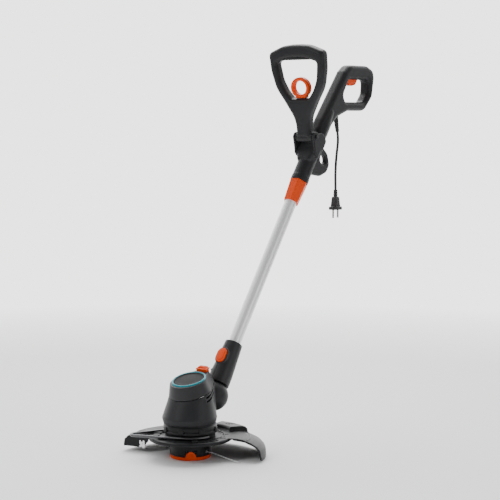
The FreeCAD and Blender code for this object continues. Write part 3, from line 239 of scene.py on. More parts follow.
@dataclass(frozen=True)
class MouldedPlastic:
    """Injection-moulded plastic with a fine eroded grain."""

    name: str
    colour: Colour
    roughness: float = 0.5
    grain: float = 0.55
    depth: float = 0.022
    # strength of the painted highlight on edges and corners
    edge_highlight_strength: float = 0.25
    gloss: float = 0.28
    seam: Optional[Seam] = None

    def material(self) -> Material:
        """Build the plastic's material."""
        bench = ShaderBench(self.name)
        fine = bench.grain(self.grain, 3.0)
        broad = bench.grain(38.0, 3.0)
        flecks = bench.grain(4.5, 4.0)
        # painted highlight: outer edges and corners are lightened by pointiness, and made a little glossier
        edge_highlight = bench.edges() * self.edge_highlight_strength
        colour = bench.tint(((broad * 0.6 + flecks * 0.4) - 0.25).clipped(), paint(self.colour, 0.86),
                            paint(self.colour, 1.16, 0.004))
        colour = bench.tint(edge_highlight, colour, paint(self.colour, 1.5, 0.03))
        rough = self.roughness - 0.07 + broad * 0.1 + fine * 0.06 - edge_highlight * 0.12
        normal = bench.relief(fine, self.depth)
        normal = bench.relief(flecks, self.depth * 2.0, normal)
        if self.seam is not None:
            away = abs(bench.along(self.seam.normal) - self.seam.offset)
            groove = (1.0 - away / self.seam.half_width).clipped()
            normal = bench.relief(1.0 - groove, 0.12, normal)
            # painted shade: the seam groove is darkened
            colour = bench.tint(groove * 0.6, colour, paint(self.colour, 0.4))
        return bench.done({"Base Color": colour, "Roughness": rough, "Normal": normal,
                           "Specular IOR Level": self.gloss})


@dataclass(frozen=True)
class DrawnMetal:
    """Drawn, turned or plated metal with fine lines along one direction."""

    name: str
    colour: Colour
    roughness: float = 0.28
    stretch: Point3 = (1.0, 1.0, 0.02)
    line: float = 0.35
    depth: float = 0.006
    metallic: float = 1.0

    def material(self) -> Material:
        """Build the metal's material."""
        bench = ShaderBench(self.name)
        lines = bench.grain(self.line, 3.0, self.stretch)
        cloud = bench.grain(30.0, 3.0)
        marks = bench.grain(2.2, 5.0)
        colour = bench.tint((lines * 0.5 + cloud * 0.5).clipped(), paint(self.colour, 0.88),
                            paint(self.colour))
        rough = self.roughness - 0.06 + lines * 0.1 + ((marks - 0.55) * 1.2).clipped() * 0.12
        normal = bench.relief(lines, self.depth)
        return bench.done({"Base Color": colour, "Roughness": rough, "Metallic": self.metallic,
                           "Normal": normal})


@dataclass(frozen=True)
class PebbledPlastic:
    """Black plastic with a coarse pebbled grain, as on a lid that a thumb rests on."""

    name: str
    colour: Colour
    pebble: float = 0.9

    def material(self) -> Material:
        """Build the pebbled material."""
        bench = ShaderBench(self.name)
        pebbles = bench.cells(self.pebble)
        fine = bench.grain(0.3, 2.0)
        height = (1.0 - pebbles * 1.4).clipped()
        normal = bench.relief(fine, 0.01)
        normal = bench.relief(height, 0.11, normal)
        colour = bench.tint(height * 0.7, paint(self.colour), paint(self.colour, 1.9, 0.004))
        return bench.done({"Base Color": colour, "Roughness": 0.66 - height * 0.14, "Normal": normal,
                           "Specular IOR Level": 0.1})


@dataclass(frozen=True)
class SoftRubber:
    """Soft black rubber or cable jacket with a dull bloom."""

    name: str
    colour: Colour
    roughness: float = 0.62

    def material(self) -> Material:
        """Build the rubber's material."""
        bench = ShaderBench(self.name)
        bloom = bench.grain(14.0, 4.0)
        fine = bench.grain(0.35, 3.0)
        colour = bench.tint(((bloom - 0.35) * 1.4).clipped(), paint(self.colour),
                            paint(self.colour, 1.7, 0.012))
        return bench.done({"Base Color": colour, "Roughness": self.roughness - 0.08 + bloom * 0.16,
                           "Normal": bench.relief(fine, 0.014), "Specular IOR Level": 0.35})


@dataclass(frozen=True)
class NylonLine:
    """Nylon line, plain or lying in turns round the spool."""

    name: str
    colour: Colour
    turns: float = 0.0

    def material(self) -> Material:
        """Build the nylon's material."""
        bench = ShaderBench(self.name)
        haze = bench.grain(3.0, 3.0)
        normal = bench.relief(bench.grain(0.4, 2.0), 0.01)
        if self.turns:
            rows = (bench.along((0.0, 0.0, 1.0)) * (2 * math.pi / (self.turns * MILLIMETRE))).sine()
            normal = bench.relief(rows * 0.5 + 0.5, 0.5, normal)
        colour = bench.tint(haze, paint(self.colour, 0.8), paint(self.colour))
        return bench.done({"Base Color": colour, "Roughness": 0.3 + haze * 0.12, "Normal": normal,
                           "Subsurface Weight": 0.15, "Subsurface Scale": 0.002})


# ---- the bench

class Axis(Enum):
    """The direction that a round or flat shape faces in its own place."""

    X = 0
    Y = 1
    Z = 2

    def turn(self) -> Matrix:
        """The turn that takes +Z to this direction."""
        if self is Axis.X:
            return Matrix.Rotation(math.radians(90), 4, "Y")
        if self is Axis.Y:
            return Matrix.Rotation(math.radians(-90), 4, "X")
        return Matrix.Identity(4)


@dataclass(frozen=True)
class Place:
    """Where a sub-assembly sits: its origin in millimetres and its tilt about X."""

    origin: Point3
    tilt: float

    @property
    def matrix(self) -> Matrix:
        """From the sub-assembly's millimetres to the tool's metres."""
        shift = Matrix.Translation(Vector(self.origin) * MILLIMETRE)
        return shift @ Matrix.Rotation(math.radians(self.tilt), 4, "X") @ Matrix.Scale(MILLIMETRE, 4)

    def at(self, point: Point3) -> Vector:
        """A point of the sub-assembly in the tool's metres."""
        return self.matrix @ Vector(point)

    def way(self, axis: Axis) -> Vector:
        """One of the sub-assembly's directions on the tool."""
        return Matrix.Rotation(math.radians(self.tilt), 3, "X").col[axis.value].copy()


def filleted(points: Sequence[Sequence[float]], radius: float, steps: int = 6) -> Outline:
    """An outline whose corners are rounded.

    Args:
        points: the corners in order, each with its own rounding where it has a third number.
        radius: the rounding of the other corners, less where an edge is too short for it.
        steps: points on each rounding.

    Returns:
        The rounded outline.
    """
    result: Outline = []
    for index, corner in enumerate(points):
        here = Vector(corner[:2])
        back = Vector(points[index - 1][:2]) - here
        onward = Vector(points[(index + 1) % len(points)][:2]) - here
        turn = math.pi - back.angle(onward)
        own = corner[2] if len(corner) > 2 else radius
        reach = min(own * math.tan(turn / 2), 0.46 * back.length, 0.46 * onward.length)
        start, end = here + back.normalized() * reach, here + onward.normalized() * reach
        for step in range(steps + 1):
            share = step / steps
            point = start * (1 - share) ** 2 + here * (2 * share * (1 - share)) + end * share ** 2
            result.append((point.x, point.y))
    return result


def mirrored(points: Sequence[Sequence[float]]) -> List[Tuple[float, ...]]:
    """An outline given on its right half from the bottom up, closed on its left half."""
    return [tuple(point) for point in points] + [(-point[0], *point[1:]) for point in reversed(points)]


class Workbench:
    """Modelling steps, each on objects at the origin."""

    @staticmethod
    def alone(piece: Piece) -> Piece:
        """Deselect everything and make one piece active."""
        bpy.ops.object.select_all(action="DESELECT")
        piece.select_set(True)
        bpy.context.view_layer.objects.active = piece
        return piece

    @classmethod
    def added(cls, name: str, data: bpy.types.ID) -> Piece:
        """Put a mesh or a curve into the scene as an object and make it the only one selected."""
        piece = bpy.data.objects.new(name, data)
        bpy.context.scene.collection.objects.link(piece)
        return cls.alone(piece)

    @classmethod
    def closed(cls, piece: Piece) -> Piece:
        """Merge the doubles of a new mesh and turn its faces outwards."""
        cls.alone(piece)
        bpy.ops.object.mode_set(mode="EDIT")
        bpy.ops.mesh.select_all(action="SELECT")
        bpy.ops.mesh.remove_doubles(threshold=0.001)
        bpy.ops.mesh.normals_make_consistent(inside=False)
        bpy.ops.object.mode_set(mode="OBJECT")
        return piece

    @classmethod
    def settle(cls, piece: Piece, name: str) -> Piece:
        """Name a new primitive and put its place into its mesh."""
        cls.alone(piece)
        bpy.ops.object.transform_apply(location=True, rotation=True, scale=True)
        piece.name = name
        piece.data.name = name
        return piece

    @classmethod
    def apply(cls, piece: Piece, kind: str, **settings: object) -> Piece:
        """Add a modifier and apply it.

        Args:
            piece: the piece to change.
            kind: the modifier's type.
            settings: the modifier's attributes.

        Returns:
            The same piece.
        """
        cls.alone(piece)
        modifier = piece.modifiers.new(kind.title(), kind)
        for key, value in settings.items():
            setattr(modifier, key, value)
        bpy.ops.object.modifier_apply(modifier=modifier.name)
        return piece

    @classmethod
    def block(cls, low: Point3, high: Point3, edge: float = 0.0) -> Piece:
        """A block between two corners with rounded edges."""
        centre = [(a + b) / 2 for a, b in zip(low, high)]
        size = [b - a for a, b in zip(low, high)]
        bpy.ops.object.select_all(action="DESELECT")
        bpy.ops.mesh.primitive_cube_add(size=1.0, location=centre)
        piece = bpy.context.active_object
        piece.scale = size
        cls.settle(piece, "block")
        if edge:
            cls.apply(piece, "BEVEL", width=edge, segments=5, limit_method="NONE")
        return piece

    @classmethod
    def drum(cls, radius: float, low: float, high: float, axis: Axis = Axis.Z, centre: Point2 = (0.0, 0.0),
             edge: float = 0.0, sides: int = 32) -> Piece:
        """A round bar.

        Args:
            radius: its radius.
            low: where it starts along its axis.
            high: where it ends.
            axis: the way it faces.
            centre: its centre across the axis, as the two other coordinates in order.
            edge: the rounding of its rims.
            sides: how many faces go round it.

        Returns:
            The bar.
        """
        bpy.ops.object.select_all(action="DESELECT")
        bpy.ops.mesh.primitive_cone_add(vertices=sides, radius1=radius, radius2=radius, depth=high - low,
                                        location=(0, 0, (low + high) / 2))
        piece = cls.settle(bpy.context.active_object, "drum")
        if edge:
            cls.apply(piece, "BEVEL", width=edge, segments=4, limit_method="ANGLE",
                      angle_limit=math.radians(50))
        shift = {Axis.X: (0, centre[0], centre[1]), Axis.Y: (centre[0], 0, centre[1]),
                 Axis.Z: (centre[0], centre[1], 0)}[axis]
        piece.data.transform(Matrix.Translation(shift) @ axis.turn())
        return piece

    @classmethod
    def spun(cls, profile: Sequence[Point2], steps: int = 96, angle: float = 360.0,
             start: float = 0.0) -> Piece:
        """A closed shape turned about Z.

        Args:
            profile: (radius, height) points round the section.
            steps: how many faces go round.
            angle: how far it turns, in degrees.
            start: where it starts, in degrees from +X.

        Returns:
            The turned shape.
        """
        bpy.ops.object.select_all(action="DESELECT")
        bpy.ops.mesh.primitive_circle_add(vertices=len(profile), calc_uvs=False,
                                          fill_type="NOTHING" if angle >= 360.0 else "NGON")
        piece = bpy.context.active_object
        heading = math.radians(start)
        for vertex, (radius, height) in zip(piece.data.vertices, profile):
            vertex.co = (radius * math.cos(heading), radius * math.sin(heading), height)
        bpy.ops.object.mode_set(mode="EDIT")
        bpy.ops.mesh.select_all(action="SELECT")
        bpy.ops.mesh.spin(steps=steps, angle=-math.radians(angle), center=(0, 0, 0), axis=(0, 0, 1))
        bpy.ops.object.mode_set(mode="OBJECT")
        return cls.closed(piece)

    @classmethod
    def plate(cls, outlines: Sequence[Sequence[Point2]], half_depth: float, edge: float, facing: Axis,
              centre: float = 0.0) -> Piece:
        """A plate cut to flat outlines, the first its rim and the rest its holes.

        Args:
            outlines: in the plane across facing: (y, z) for X, (x, z) for Y and (x, y) for Z.
            half_depth: half of its thickness.
            edge: the rounding of its edges.
            facing: the way the plate faces.
            centre: where its middle lies along facing.

        Returns:
            The plate.
        """
        curve = bpy.data.curves.new("plate", "CURVE")
        curve.dimensions = "2D"
        curve.fill_mode = "BOTH"
        curve.extrude = half_depth - edge
        curve.bevel_depth = edge
        curve.bevel_resolution = 5
        curve.offset = -edge
        for outline in outlines:
            spline = curve.splines.new("POLY")
            spline.points.add(len(outline) - 1)
            for point, (x, y) in zip(spline.points, outline):
                point.co = (x, y, 0.0, 1.0)
            spline.use_cyclic_u = True
        cls.added("plate", curve)
        bpy.ops.object.convert(target="MESH")
        piece = bpy.context.active_object
        columns = {Axis.X: ((0, 1, 0), (0, 0, 1), (1, 0, 0)), Axis.Y: ((1, 0, 0), (0, 0, 1), (0, -1, 0)),
                   Axis.Z: ((1, 0, 0), (0, 1, 0), (0, 0, 1))}[facing]
        turn = Matrix(columns).transposed().to_4x4()
        offset = Vector((0, 0, 0))
        offset[facing.value] = centre
        piece.data.transform(Matrix.Translation(offset) @ turn)
        return cls.closed(piece)

    @classmethod
    def joined(cls, parts: Sequence[Piece], name: str) -> Piece:
        """Several meshes as one object."""
        bpy.ops.object.select_all(action="DESELECT")
        for part in parts:
            part.select_set(True)
        bpy.context.view_layer.objects.active = parts[0]
        if len(parts) > 1:
            bpy.ops.object.join()
        piece = bpy.context.active_object
        piece.name = name
        piece.data.name = name
        return piece

    @classmethod
    def melted(cls, parts: Sequence[Piece], name: str, voxel: float, easing: int) -> Piece:
        """Melt overlapping closed shapes into one skin with eased edges.

        Args:
            parts: the shapes.
            name: the piece's name.
            voxel: the skin's mesh width.
            easing: how many times the skin is smoothed.

        Returns:
            The piece.
        """
        piece = cls.joined(parts, name)
        cls.apply(piece, "REMESH", mode="VOXEL", voxel_size=voxel, use_smooth_shade=True)
        return cls.apply(piece, "SMOOTH", factor=0.5, iterations=easing)

    @classmethod
    def carved(cls, piece: Piece, cutters: Sequence[Piece]) -> Piece:
        """Cut shapes out of a piece, one after the other."""
        for cutter in cutters:
            cls.apply(piece, "BOOLEAN", operation="DIFFERENCE", object=cutter, solver="EXACT")
            bpy.data.objects.remove(cutter, do_unlink=True)
        return piece

    @classmethod
    def shaded(cls, piece: Piece, angle: float) -> Piece:
        """Smooth shading up to an angle in degrees."""
        cls.alone(piece)
        bpy.ops.object.shade_smooth_by_angle(angle=math.radians(angle))
        return piece

    @staticmethod
    def swung(piece: Piece, heading: float) -> Piece:
        """Turn a piece about its upright axis by an angle in degrees."""
        piece.data.transform(Matrix.Rotation(math.radians(heading), 4, "Z"))
        return piece

    @classmethod
    def placed(cls, piece: Piece, place: Matrix, angle: float = 35.0) -> Piece:
        """Set a finished piece down on the tool and shade it.

        Args:
            piece: the piece, in its sub-assembly's millimetres.
            place: where that sub-assembly sits.
            angle: up to which edges are shaded smooth, in degrees.

        Returns:
            The same piece.
        """
        piece.data.transform(place)
        return cls.shaded(piece, angle)

    @classmethod
    def eased(cls, nodes: Sequence[str], name: str, voxel: float = 1.2, easing: int = 5) -> Piece:
        """A copy of frame nodes with moulded, eased edges.

        Args:
            nodes: the frame nodes to copy.
            name: the piece's name.
            voxel: the skin's mesh width in millimetres.
            easing: how many times it is smoothed.

        Returns:
            The copy, with no material.
        """
        parts = []
        for node in nodes:
            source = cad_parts[node]
            part = cls.added(name, source.data.copy())
            part.data.materials.clear()
            bpy.ops.object.mode_set(mode="EDIT")
            bpy.ops.mesh.select_all(action="SELECT")
            bpy.ops.mesh.remove_doubles(threshold=0.000002)
            bpy.ops.object.mode_set(mode="OBJECT")
            parts.append(part)
        return cls.shaded(cls.melted(parts, name, voxel * MILLIMETRE, easing), 50.0)


def dress(piece: Piece, material: Material) -> None:
    """Give a piece one material all over."""
    piece.data.materials.clear()
    piece.data.materials.append(material)


def dress_nodes(material: Material, *nodes: str) -> None:
    """Give frame nodes a material in place of their plain ones."""
    for node in nodes:
        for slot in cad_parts[node].material_slots:
            slot.material = material


def stand_for(piece: Piece, body: str, nodes: Iterable[str], material: Material) -> Piece:
    """Hand a finished piece to the frame.

    Args:
        piece: the piece, in place.
        body: the body that it moves with.
        nodes: the frame nodes that it is shown instead of.
        material: its finish.

    Returns:
        The same piece.
    """
    dress(piece, material)
    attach(piece, body)
    names = list(nodes)
    if names:
        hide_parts(*names)
    LOG.info("%s rides %s", piece.name, body)
    return piece


# ---- places on the tool

SHAFT_LEAN = 34.7
HINGE = (0.0, 76.0, 120.0)
LEAN_SINE = math.sin(math.radians(SHAFT_LEAN))
LEAN_COSINE = math.cos(math.radians(SHAFT_LEAN))
FORK_STATION = 646.0
FORK = (0.0, HINGE[1] + FORK_STATION * LEAN_SINE, HINGE[2] + FORK_STATION * LEAN_COSINE)
FORK_OFFSET = 36.0
GROUND = Matrix.Scale(MILLIMETRE, 4)
SHAFT = Place(HINGE, -SHAFT_LEAN)
UPPER = Place(FORK, -SHAFT_LEAN)
LOOP = Place((0.0, FORK[1] - FORK_OFFSET * LEAN_COSINE, FORK[2] + FORK_OFFSET * LEAN_SINE), 9.7)
CAP = Place((0.0, 0.0, 138.0), 16.3)
RELIEF = Place((0.0, FORK[1] + 89.0, FORK[2] + 69.0), 12.0)
RELIEF_LENGTH = 38.0
BOLT_HOLE = 3.05
SCREW_HOLE = 3.3
SHARP = 0.01


def upright(back: float, height: float) -> Point2:
    """A point given level and upright from the fork, in the shaft's own directions."""
    return (back * LEAN_COSINE - height * LEAN_SINE, back * LEAN_SINE + height * LEAN_COSINE)


class Finishes:
    """Every material of the tool, each made once."""

    def __init__(self) -> None:
        """Build the materials."""
        loop_seam = LOOP.way(Axis.Y)
        middle = Seam((1.0, 0.0, 0.0), 0.0)
        folded = Seam(tuple(loop_seam), LOOP.at((0, 0, 0)).dot(loop_seam))
        graphite: Colour = (0.022, 0.0225, 0.0245)
        black: Colour = (0.008, 0.008, 0.009)
        orange: Colour = (0.88, 0.068, 0.0)
        self.graphite = MouldedPlastic("graphite", graphite, 0.46, gloss=0.2, seam=middle).material()
        self.graphite_loop = MouldedPlastic("graphite_loop", graphite, 0.46, gloss=0.2,
                                            seam=folded).material()
        self.graphite_plain = MouldedPlastic("graphite_plain", graphite, 0.46).material()
        self.black = MouldedPlastic("black", black, 0.5, edge_highlight_strength=0.2).material()
        self.guard = MouldedPlastic("guard_black", (0.010, 0.0103, 0.0115), 0.42, grain=0.8,
                                    gloss=0.2).material()
        self.orange = MouldedPlastic("orange", orange, 0.4, depth=0.008, edge_highlight_strength=0.05, gloss=0.18).material()
        self.teal = MouldedPlastic("teal", (0.004, 0.30, 0.36), 0.32, depth=0.008, edge_highlight_strength=0.1).material()
        self.lid = PebbledPlastic("pebbled_black", (0.005, 0.0055, 0.006)).material()
        down_shaft = (1.0, 1.0 - LEAN_SINE * 0.97, 1.0 - LEAN_COSINE * 0.97)
        self.aluminium = DrawnMetal("drawn_aluminium", (0.95, 0.955, 0.96), 0.44, down_shaft,
                                    metallic=0.5).material()
        self.steel = DrawnMetal("plated_steel", (0.66, 0.66, 0.65), 0.26, (1.0, 1.0, 1.0), 0.8).material()
        self.blackened = DrawnMetal("blackened_steel", (0.09, 0.09, 0.095), 0.36, (1.0, 1.0, 1.0),
                                    0.8).material()
        self.blade = DrawnMetal("blade_steel", (0.70, 0.70, 0.70), 0.26, (1.0, 1.0, 0.1)).material()
        self.hoop = DrawnMetal("coated_wire", (0.12, 0.12, 0.125), 0.34, (1.0, 1.0, 1.0), 1.4).material()
        self.copper = DrawnMetal("copper", (0.78, 0.40, 0.22), 0.32, (1.0, 1.0, 0.1)).material()
        self.rubber = SoftRubber("soft_black", (0.015, 0.015, 0.016)).material()
        self.jacket = SoftRubber("lead_jacket", (0.022, 0.022, 0.0235), 0.5).material()
        self.nylon = NylonLine("nylon", (0.62, 0.63, 0.62)).material()
        self.wound = NylonLine("wound_nylon", (0.62, 0.63, 0.62), turns=1.6).material()


# ---- upper housing

@dataclass
class UpperHousing:
    """The sleeve, fork, cable hook and rear handle, and what is on them."""

    finishes: Finishes
    half_width: float = 16.0
    roundness: float = 10.5
    sleeve_radius: float = 20.0
    sleeve_foot: float = -100.0
    ear_inner: float = 24.0
    ear_outer: float = 29.5
    gap_start: float = 104.0
    gap_floor: float = 102.0
    gap_end: float = 211.0
    gap_top: float = 155.0
    top_bar: float = 34.0
    rear_bar: float = 24.0
    floor_bar: float = 21.0
    bore: float = 14.4
    bore_top: float = 104.5
    counterbore: float = 15.95
    counterbore_top: float = -85.0
    trigger_slot_half: float = 6.9
    screws: Tuple[Point2, ...] = ((75, 100), (115, 172), (223, 159), (206, 103))

    def grip_outline(self) -> Outline:
        """The rear handle's outer outline."""
        start, floor, end = self.gap_start, self.gap_floor, self.gap_end
        top = self.gap_top + self.top_bar
        return [(-self.sleeve_radius, 20), (-self.sleeve_radius, 63), upright(start + 6, self.gap_top + 19),
                upright(start + 26, top), upright(end - 6, top), upright(end + self.rear_bar - 5, top - 10),
                upright(end + self.rear_bar, self.gap_top + 6), upright(end + self.rear_bar - 9, floor + 12),
                upright(end - 18, floor - self.floor_bar), upright(start + 22, floor - self.floor_bar),
                (27, 98), (self.sleeve_radius, 70), (self.sleeve_radius, 20)]

    def finger_gap(self) -> Outline:
        """The opening for the fingers."""
        start, floor, end = self.gap_start, self.gap_floor, self.gap_end
        return [upright(start, floor + 16), upright(start + 24, self.gap_top), upright(end, self.gap_top),
                upright(end - 3, floor + 21), upright(end - 22, floor), upright(start + 8, floor)]

    def fin_outline(self) -> Outline:
        """The cable hook behind the sleeve."""
        return [upright(-24, -62), upright(-8, -67), upright(20, -71), upright(45, -63), upright(57, -46),
                upright(50, -20), upright(32, -4), upright(4, 0)]

    def hook_hole(self) -> Outline:
        """The hole in the cable hook."""
        return [upright(20, -38), upright(34, -44), upright(43, -38), upright(40, -26), upright(29, -21),
                upright(20, -25)]

    def saddle_outline(self) -> Outline:
        """Front view of the saddle that carries the two ears, narrowing down to the sleeve."""
        wide = self.ear_outer
        return [(wide, 22), (wide, -8), (wide - 4, -28), (wide - 13, -52), (13 - wide, -52),
                (4 - wide, -28), (-wide, -8), (-wide, 22)]

    def ear_outline(self) -> Outline:
        """One ear of the fork, round at the pivot."""
        pivot, radius = -FORK_OFFSET, 12.5
        arc = [(pivot + radius * math.cos(math.radians(angle)), radius * math.sin(math.radians(angle)))
               for angle in range(70, 226, 12)]
        return arc + [(-30, -22), (-20, -33), (-2, -36), (-2, 22), (-21, 22)]

    def shell(self) -> Piece:
        """Both halves of the housing as one skin."""
        bench = Workbench
        parts = [
            bench.plate([filleted(self.grip_outline(), 26), filleted(self.finger_gap(), 15)],
                        self.half_width, self.roundness, Axis.X),
            bench.spun([(0, self.sleeve_foot), (self.sleeve_radius - 1, self.sleeve_foot),
                        (self.sleeve_radius, self.sleeve_foot + 1.5), (self.sleeve_radius, 58), (17.0, 96),
                        (12.0, 112), (0, 114)]),
            bench.plate([filleted(self.saddle_outline(), 12)], 14.0, 7.0, Axis.Y, -6.6),
            bench.plate([filleted(self.fin_outline(), 16), filleted(self.hook_hole(), 8)], 7.4, 5.0,
                        Axis.X),
            bench.spun([(0, self.sleeve_foot), (20.7, self.sleeve_foot), (20.9, -99), (20.9, -87),
                        (19.8, -85.5), (0, -85.5)]),
        ]
        half_ear = (self.ear_outer - self.ear_inner) / 2
        parts += [bench.plate([filleted(self.ear_outline(), 3)], half_ear, 1.3, Axis.X,
                              side * (self.ear_inner + half_ear)) for side in (1, -1)]
        piece = bench.melted(parts, "upper_housing_shell", 1.25, 7)
        back, height = self.gap_start, self.gap_top
        slot = [upright(back + 12, height + 3), upright(back + 22, height - 12),
                upright(back + 69, height - 12), upright(back + 69, height + 20),
                upright(back + 12, height + 20)]
        below = self.sleeve_foot - 1.5
        cutters = [
            bench.spun([(0, below), (self.counterbore, below), (self.counterbore, self.counterbore_top),
                        (self.bore, self.counterbore_top), (self.bore, self.bore_top),
                        (0, self.bore_top)], 64),
            bench.block((-self.ear_inner, -70, -70), (self.ear_inner, -21.05, 60)),
            bench.plate([slot], self.trigger_slot_half, SHARP, Axis.X),
            bench.drum(BOLT_HOLE, -40, 40, Axis.X, (-FORK_OFFSET, 0.0)),
            self.relief_cutter(),
        ]
        cutters += [bench.drum(SCREW_HOLE, -20, -11.2, Axis.X, upright(*place))
                    for place in self.screws]
        bench.carved(piece, cutters)
        return bench.placed(piece, UPPER.matrix)

    def relief_cutter(self) -> Piece:
        """The slot that the strain relief sits in."""
        cutter = Workbench.block((-6.8, -6.8, -20), (6.8, 6.8, 14.3))
        cutter.data.transform(UPPER.matrix.inverted() @ RELIEF.matrix)
        return cutter

    def relief(self) -> Piece:
        """The ribbed strain relief of the lead."""
        profile: Outline = [(0, 13.8), (6.4, 13.8), (6.4, -0.5)]
        for rib in range(7):
            low = -2.0 - rib * 5.0
            radius = 6.2 + (4.3 - 6.2) * (-low / RELIEF_LENGTH)
            profile += [(radius, low), (radius - 0.1, low - 3.2), (radius - 0.6, low - 3.6),
                        (radius - 0.6, low - 4.6)]
        profile += [(4.2, 0.6 - RELIEF_LENGTH), (3.9, -RELIEF_LENGTH), (0, -RELIEF_LENGTH)]
        piece = Workbench.joined([Workbench.spun(profile, 40)], "ribbed_relief")
        return Workbench.placed(piece, RELIEF.matrix)

    def build(self) -> None:
        """Build and dress the upper housing."""
        finishes = self.finishes
        stand_for(self.shell(), "upper_housing", ("handle_shell_left", "handle_shell_right"),
                  finishes.graphite)
        stand_for(self.relief(), "upper_housing", ("strain_relief",), finishes.rubber)
        trigger = Workbench.eased(["trigger"], "trigger_lever_face", 0.6, 8)
        stand_for(trigger, "trigger_lever", ("trigger",), finishes.orange)
        dress_nodes(finishes.steel, "handle_screws", "trigger_pin", "detent_disc")
        dress_nodes(finishes.blackened, "fork_bolt")
        dress_nodes(finishes.black, "switch_block", "tube_collet")
        dress_nodes(finishes.jacket, "coiled_lead")


# ---- loop handle

@dataclass
class LoopHandle:
    """The folding loop handle with its ring pull."""

    finishes: Finishes
    half_width: float = 76.0
    height: float = 212.0
    bar: float = 19.5
    top_bar: float = 31.0
    gap_floor: float = 90.0
    half_depth: float = 14.5
    neck: float = 18.0
    ring_half_width: float = 26.0
    ring_half_height: float = 24.0
    ring_band: float = 8.5
    ring_half_depth: float = 7.0
    rod_bore: float = 2.85
    spring_bore: float = 5.6
    barrel_radius: float = 11.5
    detent_radius: float = 9.0
    screws: Tuple[Point2, ...] = ((64, 150), (45, 196), (29, 74))

    def outline(self) -> List[Tuple[float, ...]]:
        """The loop's outer outline."""
        wide, tall = self.half_width, self.height
        return mirrored([(self.neck, 2, 1), (self.neck + 0.5, 42, 60), (wide - 31, self.gap_floor - 4, 90),
                         (wide - 12, tall - 98, 90), (wide - 2, tall - 56, 90), (wide, tall - 16, 13),
                         (wide - 40, tall - 1, 60), (12, tall + 1, 60)])

    def gap(self) -> List[Tuple[float, ...]]:
        """The opening for the hand."""
        wide, tall = self.half_width - self.bar, self.height - self.top_bar
        return mirrored([(wide - 33, self.gap_floor, 7), (wide - 18, self.gap_floor + 18, 50),
                         (wide - 6, self.gap_floor + 42, 60), (wide, tall - 8, 9), (24, tall + 2, 60)])

    def shell(self) -> Piece:
        """Both halves of the loop as one skin."""
        bench = Workbench
        parts = [
            bench.plate([filleted(self.outline(), 30), filleted(self.gap(), 14)], self.half_depth, 9.4,
                        Axis.Y),
            bench.drum(self.barrel_radius, -23.4, 23.4, Axis.X, edge=1.5, sides=64),
            bench.block((-17, -12, 4), (17, 12, 60), 6),
        ]
        piece = bench.melted(parts, "loop_handle_shell", 1.25, 7)
        cutters = [
            bench.drum(BOLT_HOLE, -40, 40, Axis.X),
            bench.drum(self.detent_radius, -5, 5, Axis.X, sides=48),
            bench.drum(self.rod_bore, 5, 95, Axis.Z),
            bench.drum(self.spring_bore, 40, 80, Axis.Z),
        ]
        cutters += [bench.drum(SCREW_HOLE, 11.1, 20, Axis.Y, (side * aside, height))
                    for aside, height in self.screws for side in (1, -1)]
        bench.carved(piece, cutters)
        return bench.placed(piece, LOOP.matrix)

    def ring(self) -> Piece:
        """The round ring pull on its two low shoulders."""
        bench = Workbench
        outer, deep = self.ring_half_height, self.ring_half_depth
        inner = outer - self.ring_band
        section = [(inner, -deep + 3), (inner + 0.9, -deep + 0.8), (inner + 3, -deep), (outer - 3, -deep),
                   (outer - 0.9, -deep + 0.8), (outer, -deep + 3), (outer, deep - 3),
                   (outer - 0.9, deep - 0.8), (outer - 3, deep), (inner + 3, deep),
                   (inner + 0.9, deep - 0.8), (inner, deep - 3)]
        band = bench.spun(section, 72)
        middle = self.gap_floor + outer + 0.6
        stretch = Matrix.Diagonal((self.ring_half_width / outer, 1.0, 1.0, 1.0))
        band.data.transform(Matrix.Translation((0, 0, middle)) @ stretch @ Axis.Y.turn())
        foot = bench.block((-15, -deep + 0.8, self.gap_floor + 0.6), (15, deep - 0.8, middle - inner - 1),
                           2.0)
        piece = bench.melted([band, foot], "ring_pull_face", 0.7, 3)
        return bench.placed(piece, LOOP.matrix, 50)

    def grip_strip(self) -> Piece:
        """The soft ribbed strip under the top bar."""
        low, high = self.height - self.top_bar - 2.4, self.height - self.top_bar + 3
        parts = [Workbench.block((-39, -9.5, low + 0.8), (39, 9.5, high), 0.7)]
        parts += [Workbench.block((-37 + step * 4.0, -9.9, low), (-34.8 + step * 4.0, 9.9, high), 0.5)
                  for step in range(19)]
        piece = Workbench.joined(parts, "loop_grip_strip")
        return Workbench.placed(piece, LOOP.matrix)

    def build(self) -> None:
        """Build and dress the loop handle."""
        finishes = self.finishes
        stand_for(self.shell(), "loop", ("loop_shell_front", "loop_shell_rear"),
                  finishes.graphite_loop)
        stand_for(self.grip_strip(), "loop", ("loop_grip",), finishes.rubber)
        stand_for(self.ring(), "ring", ("ring_pull",), finishes.orange)
        dress_nodes(finishes.steel, "loop_screws", "latch_spring", "latch_rod")


# ---- tube, collar and lower sleeve

